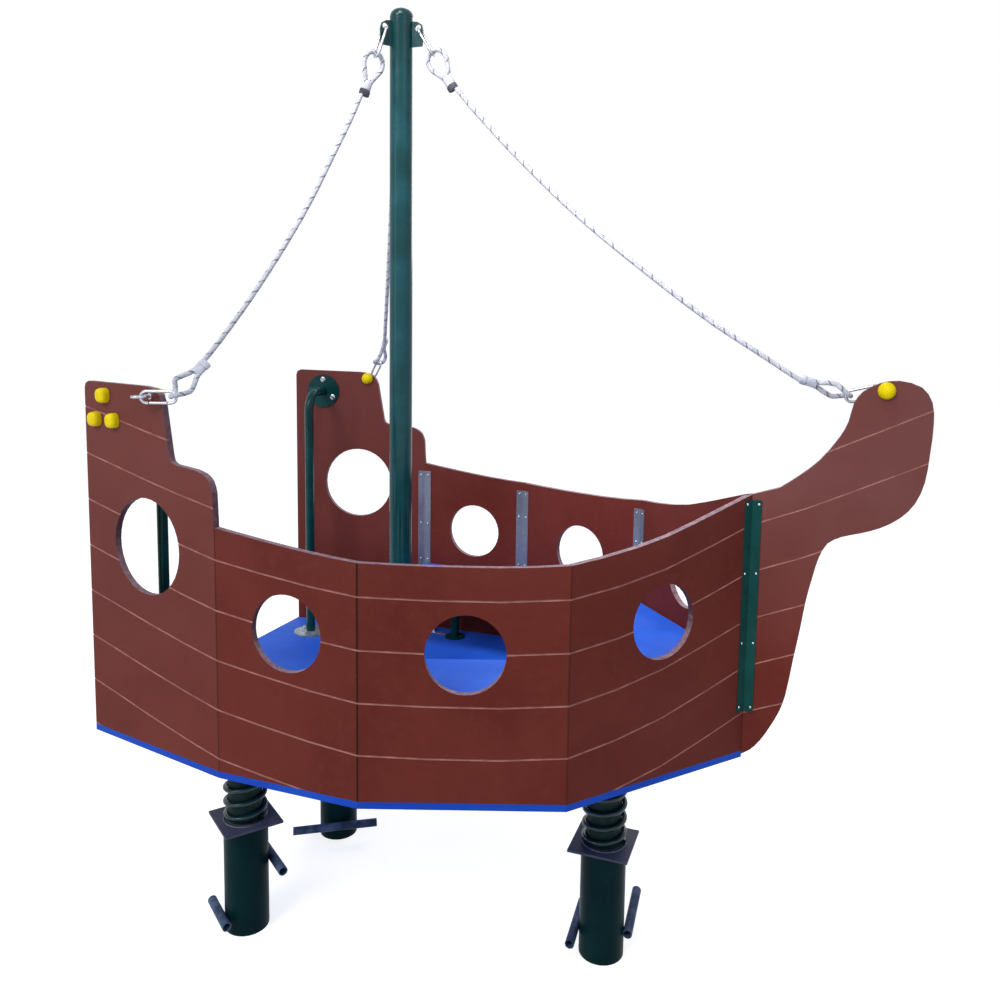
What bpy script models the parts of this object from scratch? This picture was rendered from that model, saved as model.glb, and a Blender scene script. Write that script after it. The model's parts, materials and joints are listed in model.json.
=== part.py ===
# Ship-shaped spring rider: a play platform on three coil springs.
# Metres, +Z up, +X towards the bow, symmetric about the plane y = 0.
# The part stands on the lower ends of its three anchor tubes, at z = 0.
import math

import bmesh
import bpy
from mathutils import Matrix, Vector

# Clearance between pieces that touch
GAP = 0.0003

# Board material of the deck, the side panels and the prow
BOARD = 0.021

# Height of the base plates above the tube ends, and of the deck above the base plates
TUBE_TOP = 0.408
PLATE_T = 0.008
PLATE_SIDE = 0.210
SPRING_H = 0.388
SPRING_BASE = TUBE_TOP + PLATE_T
DECK_Z = SPRING_BASE + SPRING_H + PLATE_T
DECK_TOP = DECK_Z + BOARD

# Plan of the hull: distance of each seam from the stern, and half width over the side panels
STERN_X = -1.3035
SEAM_X = (0.0, 0.604, 1.086, 1.655)
SEAM_W = (0.631, 0.753, 0.753, 0.548)
NOSE_X = 2.099
PROW_AFT_X = 2.050
PROW_HALF = BOARD / 2

# Sheer line: distance from the stern, and rise above its lowest point amidships
SHEER = ((0.0, 0.188), (0.30, 0.122), (0.60, 0.067), (1.0, 0.015), (1.40, 0.0), (1.66, 0.010),
         (1.84, 0.044), (1.96, 0.092), (2.10, 0.158), (2.25, 0.218), (2.62, 0.397))
PLANK = 0.156
PLANK_LINE_Z = 0.620
RIM_OVER_LINE = 0.098
GROOVE_DEPTH = 0.0025
GROOVE_NUMBERS = range(-4, 3)
GROOVE_STEPS = (4, 3, 3, 4)
RIM_STEPS = 6

# Grooves of the prow board: how far aft of the nose seam they start, and their length
PROW_GROOVE_AFT = 0.06
PROW_GROOVE_LENGTH = 0.56
PROW_GROOVE_STEPS = 5

# Portholes: place along the panel, height above the deck's underside, radius
PORTHOLES = ((0.297, 0.683, 0.157), (0.246, 0.490, 0.1175), (0.308, 0.463, 0.1175), (0.345, 0.512, 0.1175))

# Bench: height of its top above the deck's underside, clearance to the side panels, depth from their
# outer faces, and distances from the stern of its ends, its middle part's aft edge and its nose
BENCH_TOP = DECK_Z + 0.321
BENCH_CLEAR = 0.007
BENCH_DEPTH = 0.345
BENCH_PORT_X = 0.610
BENCH_STARBOARD_X = 1.094
BENCH_MIDDLE_X = 1.560
BENCH_NOSE_X = 2.020
BENCH_CORNER_R = 0.035

# Bench frame: a flat bar at its own distance from the outer faces, its ends, the arms across it, the
# legs as (panel, side, distance from the stern) and the feet
BENCH_BAR = 0.113
BENCH_BAR_W = 0.040
BENCH_BAR_T = 0.008
BENCH_BAR_ENDS = (0.640, 1.130)
BENCH_BAR_BOW = (1.852, 1.900)
BENCH_ARM = (0.068, 0.215)
BENCH_BOW_ARM = (0.030, 0.280)
BENCH_ARM_DROP = 0.004
BENCH_LEG_R = 0.019
BENCH_FOOT_R = 0.045
BENCH_FOOT_T = 0.006
BENCH_LEGS = ((1, 1, 0.800), (2, 1, 1.180), (2, 1, 1.560), (2, -1, 1.180), (2, -1, 1.560))
BENCH_BOW_LEG_X = 1.870

# Sheet brackets inside the seams and on the prow
BRACKET_FLANGE = 0.030
BRACKET_T = 0.003
BRACKET_FOOT = 0.006
BRACKET_UNDER_RIM = 0.035
BOW_BRACKET_Z = (DECK_Z + 0.158, DECK_Z + 0.858)

# Grab rails: place along the stern quarter panel, height, distance from it, bend and flanges
RAIL_R = 0.019
RAIL_U = {-1: 0.107, 1: 0.131}
RAIL_Z = DECK_Z + 1.105
RAIL_OUT = 0.185
RAIL_BEND = 0.080
FLANGE_R = 0.075
FLANGE_T = 0.006

# Springs and anchors
SPRING_X_STERN = 0.383
SPRING_Y = 0.329
SPRING_X_BOW = 1.646
COIL_OUTER = 0.079
COIL_WIRE = 0.009
COIL_PITCH = 0.052
COIL_STEPS = 10
COIL_FLAT = 0.11
CORE_R = (COIL_OUTER - COIL_WIRE) * math.cos(math.pi / COIL_STEPS) - COIL_WIRE - 2 * GAP
TUBE_R = 0.0795
TUBE_WALL = 0.0063
PIPE_R = 0.01685
PIPE_WALL = 0.0032

# Mast
MAST_X = 0.847
MAST_R = 0.04125
MAST_WALL = 0.004
MAST_TOP = DECK_Z + 2.468
LUG_Z = DECK_Z + 2.430
LUG_REACH = 0.064
LUG_T = 0.008
MAST_FOOT = 0.200
MAST_FOOT_T = 0.008
WEB_REACH = 0.095
WEB_H = 0.090
WEB_T = 0.006
WELD = 0.002
CAP_BAND = 0.006
CAP_DOME = 0.028
CAP_SPIGOT = 0.024

# Eye bolts: place of the ring's centre above the board face, ring size and wire
EYE_U = 0.341
EYE_Z = DECK_Z + 1.166
BOW_EYE = (2.474, DECK_Z + 1.219)
EYE_OUT = 0.045
EYE_RING = 0.020
EYE_WIRE = 0.005
BOLT_R = 0.006
COLLAR_R = 0.010
COLLAR_T = 0.007
NECK_R = 0.0065
BOLT_END = 0.012

# Carabiners and ropes
HOOK_WIRE = 0.005
HOOK_BEND = 0.018
HOOK_HALF = 0.055
GATE_REACH = 0.026
GATE_R = 0.0045
ROPE_R = 0.008
ROPE_STEP = 0.045
LOOP_STEPS = 8
HANG = 0.005
LUG_HOLE_R = 0.012
RING_SLACK = 0.004

# Directions of the end fittings, as (azimuth, elevation) in degrees, and which side of the hull
# the eye bolt is on. "lug" is the mast lug's azimuth, and "lay" tells which leg of the lower eye
# is the tail.
RIGGING = {
    "starboard": {"side": -1, "hook": (20, 0), "eye": (68, 41), "top": (-126, -71.5), "lug": -126, "lay": -1},
    "port": {"side": 1, "hook": (-34, 45), "eye": (-48, 42), "top": (126, -71.5), "lug": 126, "lay": 1},
    "bow": {"side": 0, "hook": (180, -14), "eye": (180, 18), "top": (0, -58), "lug": 0, "lay": 1},
}

# Drop of each rope below the straight line between its eyes, as (share of the span, metres)
SIDE_SAG = ((0.15, 0.033), (0.31, 0.057), (0.50, 0.071), (0.66, 0.068), (0.81, 0.044), (0.92, 0.025))
BOW_SAG = ((0.10, 0.023), (0.25, 0.056), (0.44, 0.075), (0.62, 0.080), (0.80, 0.058), (0.92, 0.029))

# Cross pipes of each anchor: height, side of the tube, and the two ends along the pipe
ANCHORS = {
    "stern_starboard": {"turn": -36, "pipe_turn": 144,
                        "pipes": ((0.235, -1, -0.125, 0.125), (0.055, 1, -0.065, 0.120))},
    "stern_port": {"turn": 36, "pipe_turn": 33,
                   "pipes": ((0.235, 1, -0.125, 0.125), (0.070, -1, -0.195, 0.158))},
    "bow": {"turn": 0, "pipe_turn": 94,
            "pipes": ((0.090, -1, -0.015, 0.245), (0.075, 1, -0.105, 0.140))},
}

DARK_GREEN = (0.008, 0.050, 0.052)
BROWN = (0.135, 0.032, 0.026)
BLUE = (0.006, 0.075, 0.620)
ZINC = (0.42, 0.44, 0.50)
YELLOW = (0.84, 0.68, 0.003)
OFF_WHITE = (0.72, 0.74, 0.78)
BLACK = (0.012, 0.014, 0.015)


def clear_scene():
    for obj in list(bpy.data.objects):
        bpy.data.objects.remove(obj, do_unlink=True)


def material(name, colour, roughness, metallic=0.0):
    mat = bpy.data.materials.new(name)
    mat.use_nodes = True
    shader = mat.node_tree.nodes["Principled BSDF"]
    shader.inputs["Base Color"].default_value = (*colour, 1.0)
    shader.inputs["Roughness"].default_value = roughness
    shader.inputs["Metallic"].default_value = metallic
    return mat


def link(name, mesh, finish, parent=None, location=(0, 0, 0), rotation=None):
    """Make an object that owns its material and hangs under a parent empty."""
    obj = bpy.data.objects.new(name, mesh)
    bpy.context.scene.collection.objects.link(obj)
    obj.location = location
    if rotation is not None:
        obj.rotation_mode = "QUATERNION"
        obj.rotation_quaternion = rotation
    obj.parent = parent
    mesh.materials.clear()
    mesh.materials.append(material(name, *finish))
    return obj


def smooth_rounds(mesh, angle=35.0):
    mesh.shade_smooth()
    mesh.set_sharp_from_angle(angle=math.radians(angle))


def mesh_from(bm, name):
    bmesh.ops.recalc_face_normals(bm, faces=bm.faces)
    mesh = bpy.data.meshes.new(name)
    bm.to_mesh(mesh)
    bm.free()
    smooth_rounds(mesh)
    return mesh


def boolean(mesh, cutters, operation="DIFFERENCE"):
    """Apply exact Booleans of the cutter meshes to a mesh and return the result."""
    target = bpy.data.objects.new("work", mesh)
    bpy.context.scene.collection.objects.link(target)
    helpers = []
    for number, cutter in enumerate(cutters):
        helper = bpy.data.objects.new(f"cutter_{number}", cutter)
        helper.hide_render = True
        helper.display_type = "WIRE"
        bpy.context.scene.collection.objects.link(helper)
        step = target.modifiers.new(f"step_{number}", "BOOLEAN")
        step.object = helper
        step.operation = operation
        step.solver = "EXACT"
        helpers.append(helper)
    bpy.context.view_layer.update()
    graph = bpy.context.evaluated_depsgraph_get()
    result = bpy.data.meshes.new_from_object(target.evaluated_get(graph))
    for obj in [target, *helpers]:
        bpy.data.objects.remove(obj, do_unlink=True)
    smooth_rounds(result)
    return result


def extruded(bm, points, offset):
    """Add a face through the points and extrude it by the offset."""
    face = bm.faces.new([bm.verts.new(point) for point in points])
    moved = bmesh.ops.extrude_face_region(bm, geom=[face])["geom"]
    verts = [v for v in moved if isinstance(v, bmesh.types.BMVert)]
    bmesh.ops.translate(bm, verts=verts, vec=offset)


def prism(points, depth, name="prism"):
    """Extrude an outline in the XZ plane along +Y by depth."""
    bm = bmesh.new()
    extruded(bm, [(x, 0.0, z) for x, z in points], (0, depth, 0))
    return mesh_from(bm, name)


def slab(points, z0, z1, name="slab"):
    """Extrude an outline in the XY plane from z0 to z1."""
    bm = bmesh.new()
    extruded(bm, [(x, y, z0) for x, y in points], (0, 0, z1 - z0))
    return mesh_from(bm, name)


def turned(profile, segments, name="turned"):
    """Revolve a closed (radius, z) profile about Z."""
    bm = bmesh.new()
    ring = [bm.verts.new((r, 0.0, z)) for r, z in profile]
    edges = [bm.edges.new((ring[i], ring[(i + 1) % len(ring)])) for i in range(len(ring))]
    edges = [e for e in edges if e.verts[0].co.x > 1e-9 or e.verts[1].co.x > 1e-9]
    bmesh.ops.spin(bm, geom=ring + edges, cent=(0, 0, 0), axis=(0, 0, 1), angle=2 * math.pi,
                   steps=segments, use_merge=True)
    bmesh.ops.remove_doubles(bm, verts=bm.verts, dist=1e-6)
    loose = [e for e in bm.edges if not e.link_faces]
    bmesh.ops.delete(bm, geom=loose, context="EDGES")
    return mesh_from(bm, name)


def rod(start, end, radius, sides, name="rod"):
    """A solid cylinder from start to end."""
    start, end = Vector(start), Vector(end)
    axis = end - start
    bm = bmesh.new()
    bmesh.ops.create_cone(bm, cap_ends=True, segments=sides, radius1=radius, radius2=radius,
                          depth=axis.length)
    turn = Vector((0, 0, 1)).rotation_difference(axis).to_matrix().to_4x4()
    bm.transform(Matrix.Translation((start + end) / 2) @ turn)
    return mesh_from(bm, name)


def frames_along(points, closed=False):
    """Tangent and two normals at each point, carried along without twist."""
    count = len(points)
    tangents = []
    for i in range(count):
        before = points[i - 1] if (i > 0 or closed) else points[i]
        after = points[(i + 1) % count] if (i < count - 1 or closed) else points[i]
        tangents.append((after - before).normalized())
    side = tangents[0].orthogonal().normalized()
    frames = []
    for tangent in tangents:
        side = (side - tangent * side.dot(tangent)).normalized()
        frames.append((tangent, side, tangent.cross(side)))
    return frames


def swept_bar(points, radius, sides, name="bar"):
    """A round bar with flat ends that follows a list of points."""
    points = [Vector(p) for p in points]
    bm = bmesh.new()
    rings = []
    for point, (_, side, other) in zip(points, frames_along(points)):
        ring = []
        for k in range(sides):
            angle = 2 * math.pi * k / sides
            ring.append(bm.verts.new(point + radius * (math.cos(angle) * side + math.sin(angle) * other)))
        rings.append(ring)
    for low, high in zip(rings, rings[1:]):
        for k in range(sides):
            n = (k + 1) % sides
            bm.faces.new((low[k], low[n], high[n], high[k]))
    bm.faces.new(rings[0])
    bm.faces.new(rings[-1])
    return mesh_from(bm, name)


def hermite(table, x):
    """Smooth curve through (x, value) pairs, with slopes from the neighbours."""
    last = len(table) - 1
    i = 0
    while i < last - 1 and x > table[i + 1][0]:
        i += 1

    def slope(k):
        a, b = table[max(k - 1, 0)], table[min(k + 1, last)]
        return (b[1] - a[1]) / (b[0] - a[0])

    (x0, y0), (x1, y1) = table[i], table[i + 1]
    h = x1 - x0
    t = (x - x0) / h
    a = (2 * t ** 3 - 3 * t ** 2 + 1) * y0 + (t ** 3 - 2 * t ** 2 + t) * h * slope(i)
    b = (3 * t ** 2 - 2 * t ** 3) * y1 + (t ** 3 - t ** 2) * h * slope(i + 1)
    return a + b


def plank_line(x, number=0):
    """Height of a plank line above the ground, a whole number of planks over the third one."""
    return DECK_Z + PLANK_LINE_Z + hermite(SHEER, x) + number * PLANK


def rim(x):
    return plank_line(x) + RIM_OVER_LINE


def along_route(route, knots, steps):
    """Points on a smooth curve through the route, evenly spaced between the numbered route points."""
    lengths = [0.0]
    for a, b in zip(route, route[1:]):
        lengths.append(lengths[-1] + (b - a).length)
    tables = [[(length, point[axis]) for length, point in zip(lengths, route)] for axis in range(3)]
    out = [route[0].copy()]
    for start, end, count in zip(knots, knots[1:], steps):
        for n in range(1, count + 1):
            s = lengths[start] + (lengths[end] - lengths[start]) * n / count
            out.append(Vector([hermite(table, s) for table in tables]))
    return out


class PanelPlane:
    """Outer face of one side panel: u runs forward along it, side is -1 to starboard, +1 to port."""

    def __init__(self, number, side):
        ends = [(STERN_X + x, side * w) for x, w in zip(SEAM_X, SEAM_W)]
        ends.append((STERN_X + NOSE_X, side * (PROW_HALF + GAP)))
        self.start = Vector((*ends[number], 0))
        self.end = Vector((*ends[number + 1], 0))
        self.length = (self.end - self.start).length
        self.along = (self.end - self.start).normalized()
        self.outward = Vector((self.along.y, -self.along.x, 0)) * (1 if side < 0 else -1)

    def at(self, u, z, out=0.0):
        return self.start + self.along * u + self.outward * out + Vector((0, 0, z))

    def from_stern(self, u):
        return self.start.x + self.along.x * u - STERN_X

    def inside(self, x, depth):
        """Plan point at distance x from the stern, depth inward of the outer face."""
        u = (STERN_X + x - self.start.x + self.outward.x * depth) / self.along.x
        point = self.at(u, 0.0, -depth)
        return point.x, point.y


def groove(points, outward):
    """Cutter for a V groove along points on a flat upright face."""
    proud = 0.001
    half = GROOVE_DEPTH + proud
    bm = bmesh.new()
    rings = []
    for point in points:
        rings.append([bm.verts.new(point + outward * proud + Vector((0, 0, half))),
                      bm.verts.new(point + outward * proud - Vector((0, 0, half))),
                      bm.verts.new(point - outward * GROOVE_DEPTH)])
    for low, high in zip(rings, rings[1:]):
        for k in range(3):
            n = (k + 1) % 3
            bm.faces.new((low[k], low[n], high[n], high[k]))
    bm.faces.new(rings[0])
    bm.faces.new(rings[-1])
    return mesh_from(bm, "groove")


def smoothed(points, parts):
    """Finer outline through the same points, each stretch divided into equal parts."""
    lengths = [0.0]
    for a, b in zip(points, points[1:]):
        lengths.append(lengths[-1] + math.dist(a, b))
    tables = [[(length, point[axis]) for length, point in zip(lengths, points)] for axis in range(2)]
    out = [points[0]]
    for a, b in zip(lengths, lengths[1:]):
        for n in range(1, parts + 1):
            out.append(tuple(hermite(table, a + (b - a) * n / parts) for table in tables))
    return out


def rim_points(plane):
    stations = [plane.length * k / RIM_STEPS for k in range(RIM_STEPS + 1)]
    return [(u, rim(plane.from_stern(u))) for u in stations]


def stern_panel_outline(plane):
    """The stern quarter panel steps down from the eye bolt's corner to the rim amidships."""
    z = DECK_Z
    tall = [(0.0, z + 1.180), (0.006, z + 1.195), (0.022, z + 1.202)]
    shoulder = [(0.300, z + 1.196), (0.345, z + 1.190), (0.376, z + 1.172), (0.391, z + 1.142)]
    notch = [(0.417, z + 0.990), (0.424, z + 0.968), (0.442, z + 0.959)]
    ledge = [(0.530, z + 0.951), (0.568, z + 0.942), (0.597, z + 0.922), (0.610, z + 0.888)]
    foot = [(0.613, z + 0.820), (plane.length, rim(plane.from_stern(plane.length)))]
    bottom = [(plane.length, DECK_TOP + GAP), (0.0, DECK_TOP + GAP)]
    return tall + smoothed(shoulder, 2) + smoothed(notch, 2) + smoothed(ledge, 2) + foot + bottom


def side_panel(number, side, holes=()):
    """One side panel, mitred at the seams, with its porthole and any bolt holes."""
    plane = PanelPlane(number, side)
    if number == 0:
        outline = stern_panel_outline(plane)
    else:
        outline = rim_points(plane) + [(plane.length, DECK_TOP + GAP), (0.0, DECK_TOP + GAP)]
    bm = bmesh.new()
    extruded(bm, [plane.at(u, z) for u, z in outline], plane.outward * -BOARD)
    for end, neighbour in ((plane.start, number - 1), (plane.end, number + 1)):
        if neighbour < 0:
            continue
        if neighbour > 3:
            normal = Vector((0, side, 0))
            point = Vector((0, side * (PROW_HALF + GAP), 0))
        else:
            other = PanelPlane(neighbour, side)
            normal = (plane.along + other.along).normalized() * (1 if neighbour < number else -1)
            point = end + normal * GAP / 2
        geom = bm.verts[:] + bm.edges[:] + bm.faces[:]
        cut = bmesh.ops.bisect_plane(bm, geom=geom, dist=1e-6, plane_co=point, plane_no=normal,
                                     clear_inner=True)
        edges = [e for e in cut["geom_cut"] if isinstance(e, bmesh.types.BMEdge)]
        bmesh.ops.contextual_create(bm, geom=edges)
    mesh = mesh_from(bm, "panel")
    u, z, radius = PORTHOLES[number]
    cutters = [rod(plane.at(u, DECK_Z + z, 0.01), plane.at(u, DECK_Z + z, -BOARD - 0.01), radius, 36)]
    for u, z in holes:
        cutters.append(rod(plane.at(u, z, 0.01), plane.at(u, z, -BOARD - 0.01), BOLT_R + GAP, 12))
    steps = GROOVE_STEPS[number]
    for line in GROOVE_NUMBERS:
        route = []
        for k in range(steps + 1):
            u = -0.01 + (plane.length + 0.02) * k / steps
            route.append(plane.at(u, plank_line(max(plane.from_stern(u), 0.0), line)))
        cutters.append(groove(route, plane.outward))
    return boolean(mesh, cutters)


def prow_outline():
    """Prow board seen from starboard, as (distance from the stern, height over the deck's underside)."""
    front = [(2.088, 0.004), (2.125, 0.028), (2.157, 0.067), (2.184, 0.115), (2.211, 0.172), (2.228, 0.230),
             (2.246, 0.350), (2.262, 0.451), (2.276, 0.551), (2.293, 0.633), (2.307, 0.690), (2.330, 0.737),
             (2.370, 0.762), (2.422, 0.778), (2.477, 0.799), (2.531, 0.834), (2.570, 0.882), (2.593, 0.947),
             (2.602, 1.032), (2.607, 1.125), (2.600, 1.188), (2.570, 1.232), (2.508, 1.250), (2.454, 1.241),
             (2.408, 1.214), (2.384, 1.175), (2.372, 1.120), (2.350, 1.073), (2.296, 0.998), (2.239, 0.946),
             (2.182, 0.903)]
    aft = [(NOSE_X, rim(NOSE_X) - DECK_Z), (PROW_AFT_X, rim(PROW_AFT_X) - DECK_Z), (PROW_AFT_X, 0.0)]
    return [(STERN_X + x, DECK_Z + z) for x, z in smoothed(front, 2) + aft]


def build_prow(finish, parent):
    mesh = prism(prow_outline(), BOARD, "prow")
    mesh.transform(Matrix.Translation((0, -PROW_HALF, 0)))
    x, z = BOW_EYE
    cutters = [rod((STERN_X + x, -0.05, z), (STERN_X + x, 0.05, z), BOLT_R + GAP, 12)]
    for side in (-1, 1):
        for line in GROOVE_NUMBERS:
            spaces = [PROW_GROOVE_LENGTH * k / PROW_GROOVE_STEPS for k in range(PROW_GROOVE_STEPS + 1)]
            stations = [NOSE_X - PROW_GROOVE_AFT + space for space in spaces]
            route = [Vector((STERN_X + x, side * PROW_HALF, plank_line(x, line))) for x in stations]
            cutters.append(groove(route, Vector((0, side, 0))))
    link("prow_panel", boolean(mesh, cutters), finish, parent)


def build_deck(finish, parent):
    """Deck board, with a slot in its nose that holds the prow board."""
    half = PROW_HALF + GAP
    starboard = [(STERN_X + x, -w) for x, w in zip(SEAM_X, SEAM_W)]
    nose = [(STERN_X + NOSE_X, -half), (STERN_X + PROW_AFT_X - GAP, -half)]
    points = starboard + nose
    points += [(x, -y) for x, y in reversed(points)]
    link("deck", slab(points, DECK_Z, DECK_TOP), finish, parent)


def offset_corner(corner, before, after, distance):
    """Corner moved inward so that it is distance from both of the lines that meet there."""
    bisector = (before + after).normalized()
    return corner + bisector * distance / math.sqrt((1 + before.dot(after)) / 2)


def inner_corner(seam, side, distance):
    """Corner at a seam, distance inward of the outer faces of both panels."""
    a, b = PanelPlane(seam - 1, side), PanelPlane(seam, side)
    return offset_corner(b.start, -a.outward, -b.outward, distance)


def folded_strip(corner, arm_a, arm_b, normal_a, normal_b, z0, z1):
    """Sheet strip folded along Z, lying on two faces that meet at a corner."""
    flange = BRACKET_FLANGE
    inner, outer = GAP, GAP + BRACKET_T
    near = offset_corner(corner, normal_a, normal_b, inner)
    far = offset_corner(corner, normal_a, normal_b, outer)
    points = [corner + arm_a * flange + normal_a * inner, near, corner + arm_b * flange + normal_b * inner,
              corner + arm_b * flange + normal_b * outer, far, corner + arm_a * flange + normal_a * outer]
    return slab([(p.x, p.y) for p in points], z0, z1)


def build_seam_brackets(finish, parent):
    for side, side_name in ((-1, "starboard"), (1, "port")):
        for seam, seam_name in ((1, "aft"), (2, "mid"), (3, "fore")):
            a, b = PanelPlane(seam - 1, side), PanelPlane(seam, side)
            corner = inner_corner(seam, side, BOARD)
            ends = (DECK_TOP + BRACKET_FOOT, rim(SEAM_X[seam]) - BRACKET_UNDER_RIM)
            mesh = folded_strip(corner, -a.along, b.along, -a.outward, -b.outward, *ends)
            link(f"seam_bracket_{seam_name}_{side_name}", mesh, finish, parent)


def build_bow_brackets(finish, parent):
    for side, side_name in ((-1, "starboard"), (1, "port")):
        plane = PanelPlane(3, side)
        mesh = folded_strip(plane.end, -plane.along, Vector((1, 0, 0)), plane.outward, Vector((0, side, 0)),
                            *BOW_BRACKET_Z)
        link(f"bow_bracket_{side_name}", mesh, finish, parent)


def rounded(points, corners, radius):
    """Outline with the numbered corners rounded by a short three-point curve."""
    out = []
    for i, point in enumerate(points):
        if i not in corners:
            out.append(tuple(point))
            continue
        point = Vector(point)
        before = Vector(points[i - 1]) - point
        after = Vector(points[(i + 1) % len(points)]) - point
        start = point + before.normalized() * radius
        end = point + after.normalized() * radius
        out += [tuple(start), tuple(start / 4 + point / 2 + end / 4), tuple(end)]
    return out


def corner_xy(seam, side, distance):
    corner = inner_corner(seam, side, distance)
    return corner.x, corner.y


def build_bench(finish, parent):
    """One board along the port side, round the bow and back along the starboard side."""
    edge = BOARD + BENCH_CLEAR
    waist, middle, bow = PanelPlane(1, 1), PanelPlane(2, 1), PanelPlane(3, 1)
    middle_s, bow_s = PanelPlane(2, -1), PanelPlane(3, -1)
    outer = [waist.inside(BENCH_PORT_X, edge), corner_xy(2, 1, edge), corner_xy(3, 1, edge),
             bow.inside(BENCH_NOSE_X, edge), bow_s.inside(BENCH_NOSE_X, edge), corner_xy(3, -1, edge),
             middle_s.inside(BENCH_STARBOARD_X, edge)]
    inner = [middle_s.inside(BENCH_STARBOARD_X, BENCH_DEPTH), middle_s.inside(BENCH_MIDDLE_X, BENCH_DEPTH),
             middle.inside(BENCH_MIDDLE_X, BENCH_DEPTH), corner_xy(2, 1, BENCH_DEPTH),
             waist.inside(BENCH_PORT_X, BENCH_DEPTH)]
    outline = rounded(outer + inner, (7, 8, 9, 11), BENCH_CORNER_R)
    link("bench", slab(outline, BENCH_TOP - BOARD, BENCH_TOP), finish, parent)


def build_bench_frame(finish, parent):
    """Flat bar under the bench, with an arm, a leg and a foot at each place that carries it."""
    top = BENCH_TOP - BOARD - GAP
    near, far = BENCH_BAR - BENCH_BAR_W / 2, BENCH_BAR + BENCH_BAR_W / 2
    waist, bow = PanelPlane(1, 1), PanelPlane(3, 1)
    middle_s, bow_s = PanelPlane(2, -1), PanelPlane(3, -1)
    port_end, starboard_end = BENCH_BAR_ENDS
    inner_bow, outer_bow = BENCH_BAR_BOW
    outline = [waist.inside(port_end, near), corner_xy(2, 1, near), corner_xy(3, 1, near),
               bow.inside(outer_bow, near), bow_s.inside(outer_bow, near), corner_xy(3, -1, near),
               middle_s.inside(starboard_end, near), middle_s.inside(starboard_end, far),
               corner_xy(3, -1, far), bow_s.inside(inner_bow, far), bow.inside(inner_bow, far),
               corner_xy(3, 1, far), corner_xy(2, 1, far), waist.inside(port_end, far)]
    bar = slab(outline, top - BENCH_BAR_T, top)
    places = []
    for number, side, x in BENCH_LEGS:
        plane = PanelPlane(number, side)
        places.append((Vector((*plane.inside(x, BENCH_BAR), 0.0)), -plane.outward, BENCH_ARM))
    places.append((Vector((STERN_X + BENCH_BOW_LEG_X, 0.0, 0.0)), Vector((-1, 0, 0)), BENCH_BOW_ARM))
    parts = []
    foot = DECK_TOP + GAP
    up = Vector((0, 0, 1))
    for place, inward, (back, reach) in places:
        across = Vector((-inward.y, inward.x, 0)) * BENCH_BAR_W / 2
        ends = (place - inward * back, place + inward * reach)
        arm = [ends[0] - across, ends[1] - across, ends[1] + across, ends[0] + across]
        arm_top = top - BENCH_ARM_DROP
        parts.append(slab([(p.x, p.y) for p in arm], arm_top - BENCH_BAR_T, arm_top))
        leg_ends = (place + up * (foot + BENCH_FOOT_T / 2), place + up * (arm_top - BENCH_BAR_T / 2))
        parts.append(rod(*leg_ends, BENCH_LEG_R, 10))
        parts.append(rod(place + up * foot, place + up * (foot + BENCH_FOOT_T), BENCH_FOOT_R, 14))
    link("bench_frame", boolean(bar, parts, "UNION"), finish, parent)


def build_grab_rails(finish, parent):
    """Bent pipe that comes straight out of the wall flange and turns down to the deck flange."""
    for side, side_name in ((-1, "starboard"), (1, "port")):
        plane = PanelPlane(0, side)
        wall = BOARD + GAP
        inset = wall + RAIL_OUT
        place = RAIL_U[side]
        route = [plane.at(place, RAIL_Z, -wall - WELD)]
        for k in range(7):
            angle = math.radians(90 * k / 6)
            out = -inset + RAIL_BEND - RAIL_BEND * math.sin(angle)
            route.append(plane.at(place, RAIL_Z - RAIL_BEND + RAIL_BEND * math.cos(angle), out))
        route.append(plane.at(place, DECK_TOP + GAP + WELD, -inset))
        pipe = swept_bar(route, RAIL_R, 12)
        faces = (plane.at(place, RAIL_Z, -wall), plane.at(place, RAIL_Z, -wall - FLANGE_T))
        wall_flange = rod(*faces, FLANGE_R, 24)
        foot = plane.at(place, DECK_TOP + GAP, -inset)
        deck_flange = rod(foot, foot + Vector((0, 0, FLANGE_T)), FLANGE_R, 24)
        link(f"grab_rail_{side_name}", boolean(pipe, [wall_flange, deck_flange], "UNION"), finish, parent)


def lug_plate(azimuth):
    """Welded plate with the hole that a carabiner hangs in."""
    z = LUG_Z
    inner = MAST_R - WELD
    outline = [(inner, z - 0.062), (LUG_REACH + 0.016, z - 0.062), (LUG_REACH + 0.019, z - 0.010),
               (LUG_REACH + 0.014, z + 0.010), (LUG_REACH - 0.002, z + 0.020), (inner, z + 0.024)]
    plate = prism(outline, LUG_T)
    plate.transform(Matrix.Translation((0, -LUG_T / 2, 0)))
    hole = rod((LUG_REACH, -0.02, z), (LUG_REACH, 0.02, z), LUG_HOLE_R, 14)
    plate = boolean(plate, [hole])
    turn = Matrix.Translation((STERN_X + MAST_X, 0, 0)) @ Matrix.Rotation(math.radians(azimuth), 4, "Z")
    plate.transform(turn)
    return plate


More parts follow.
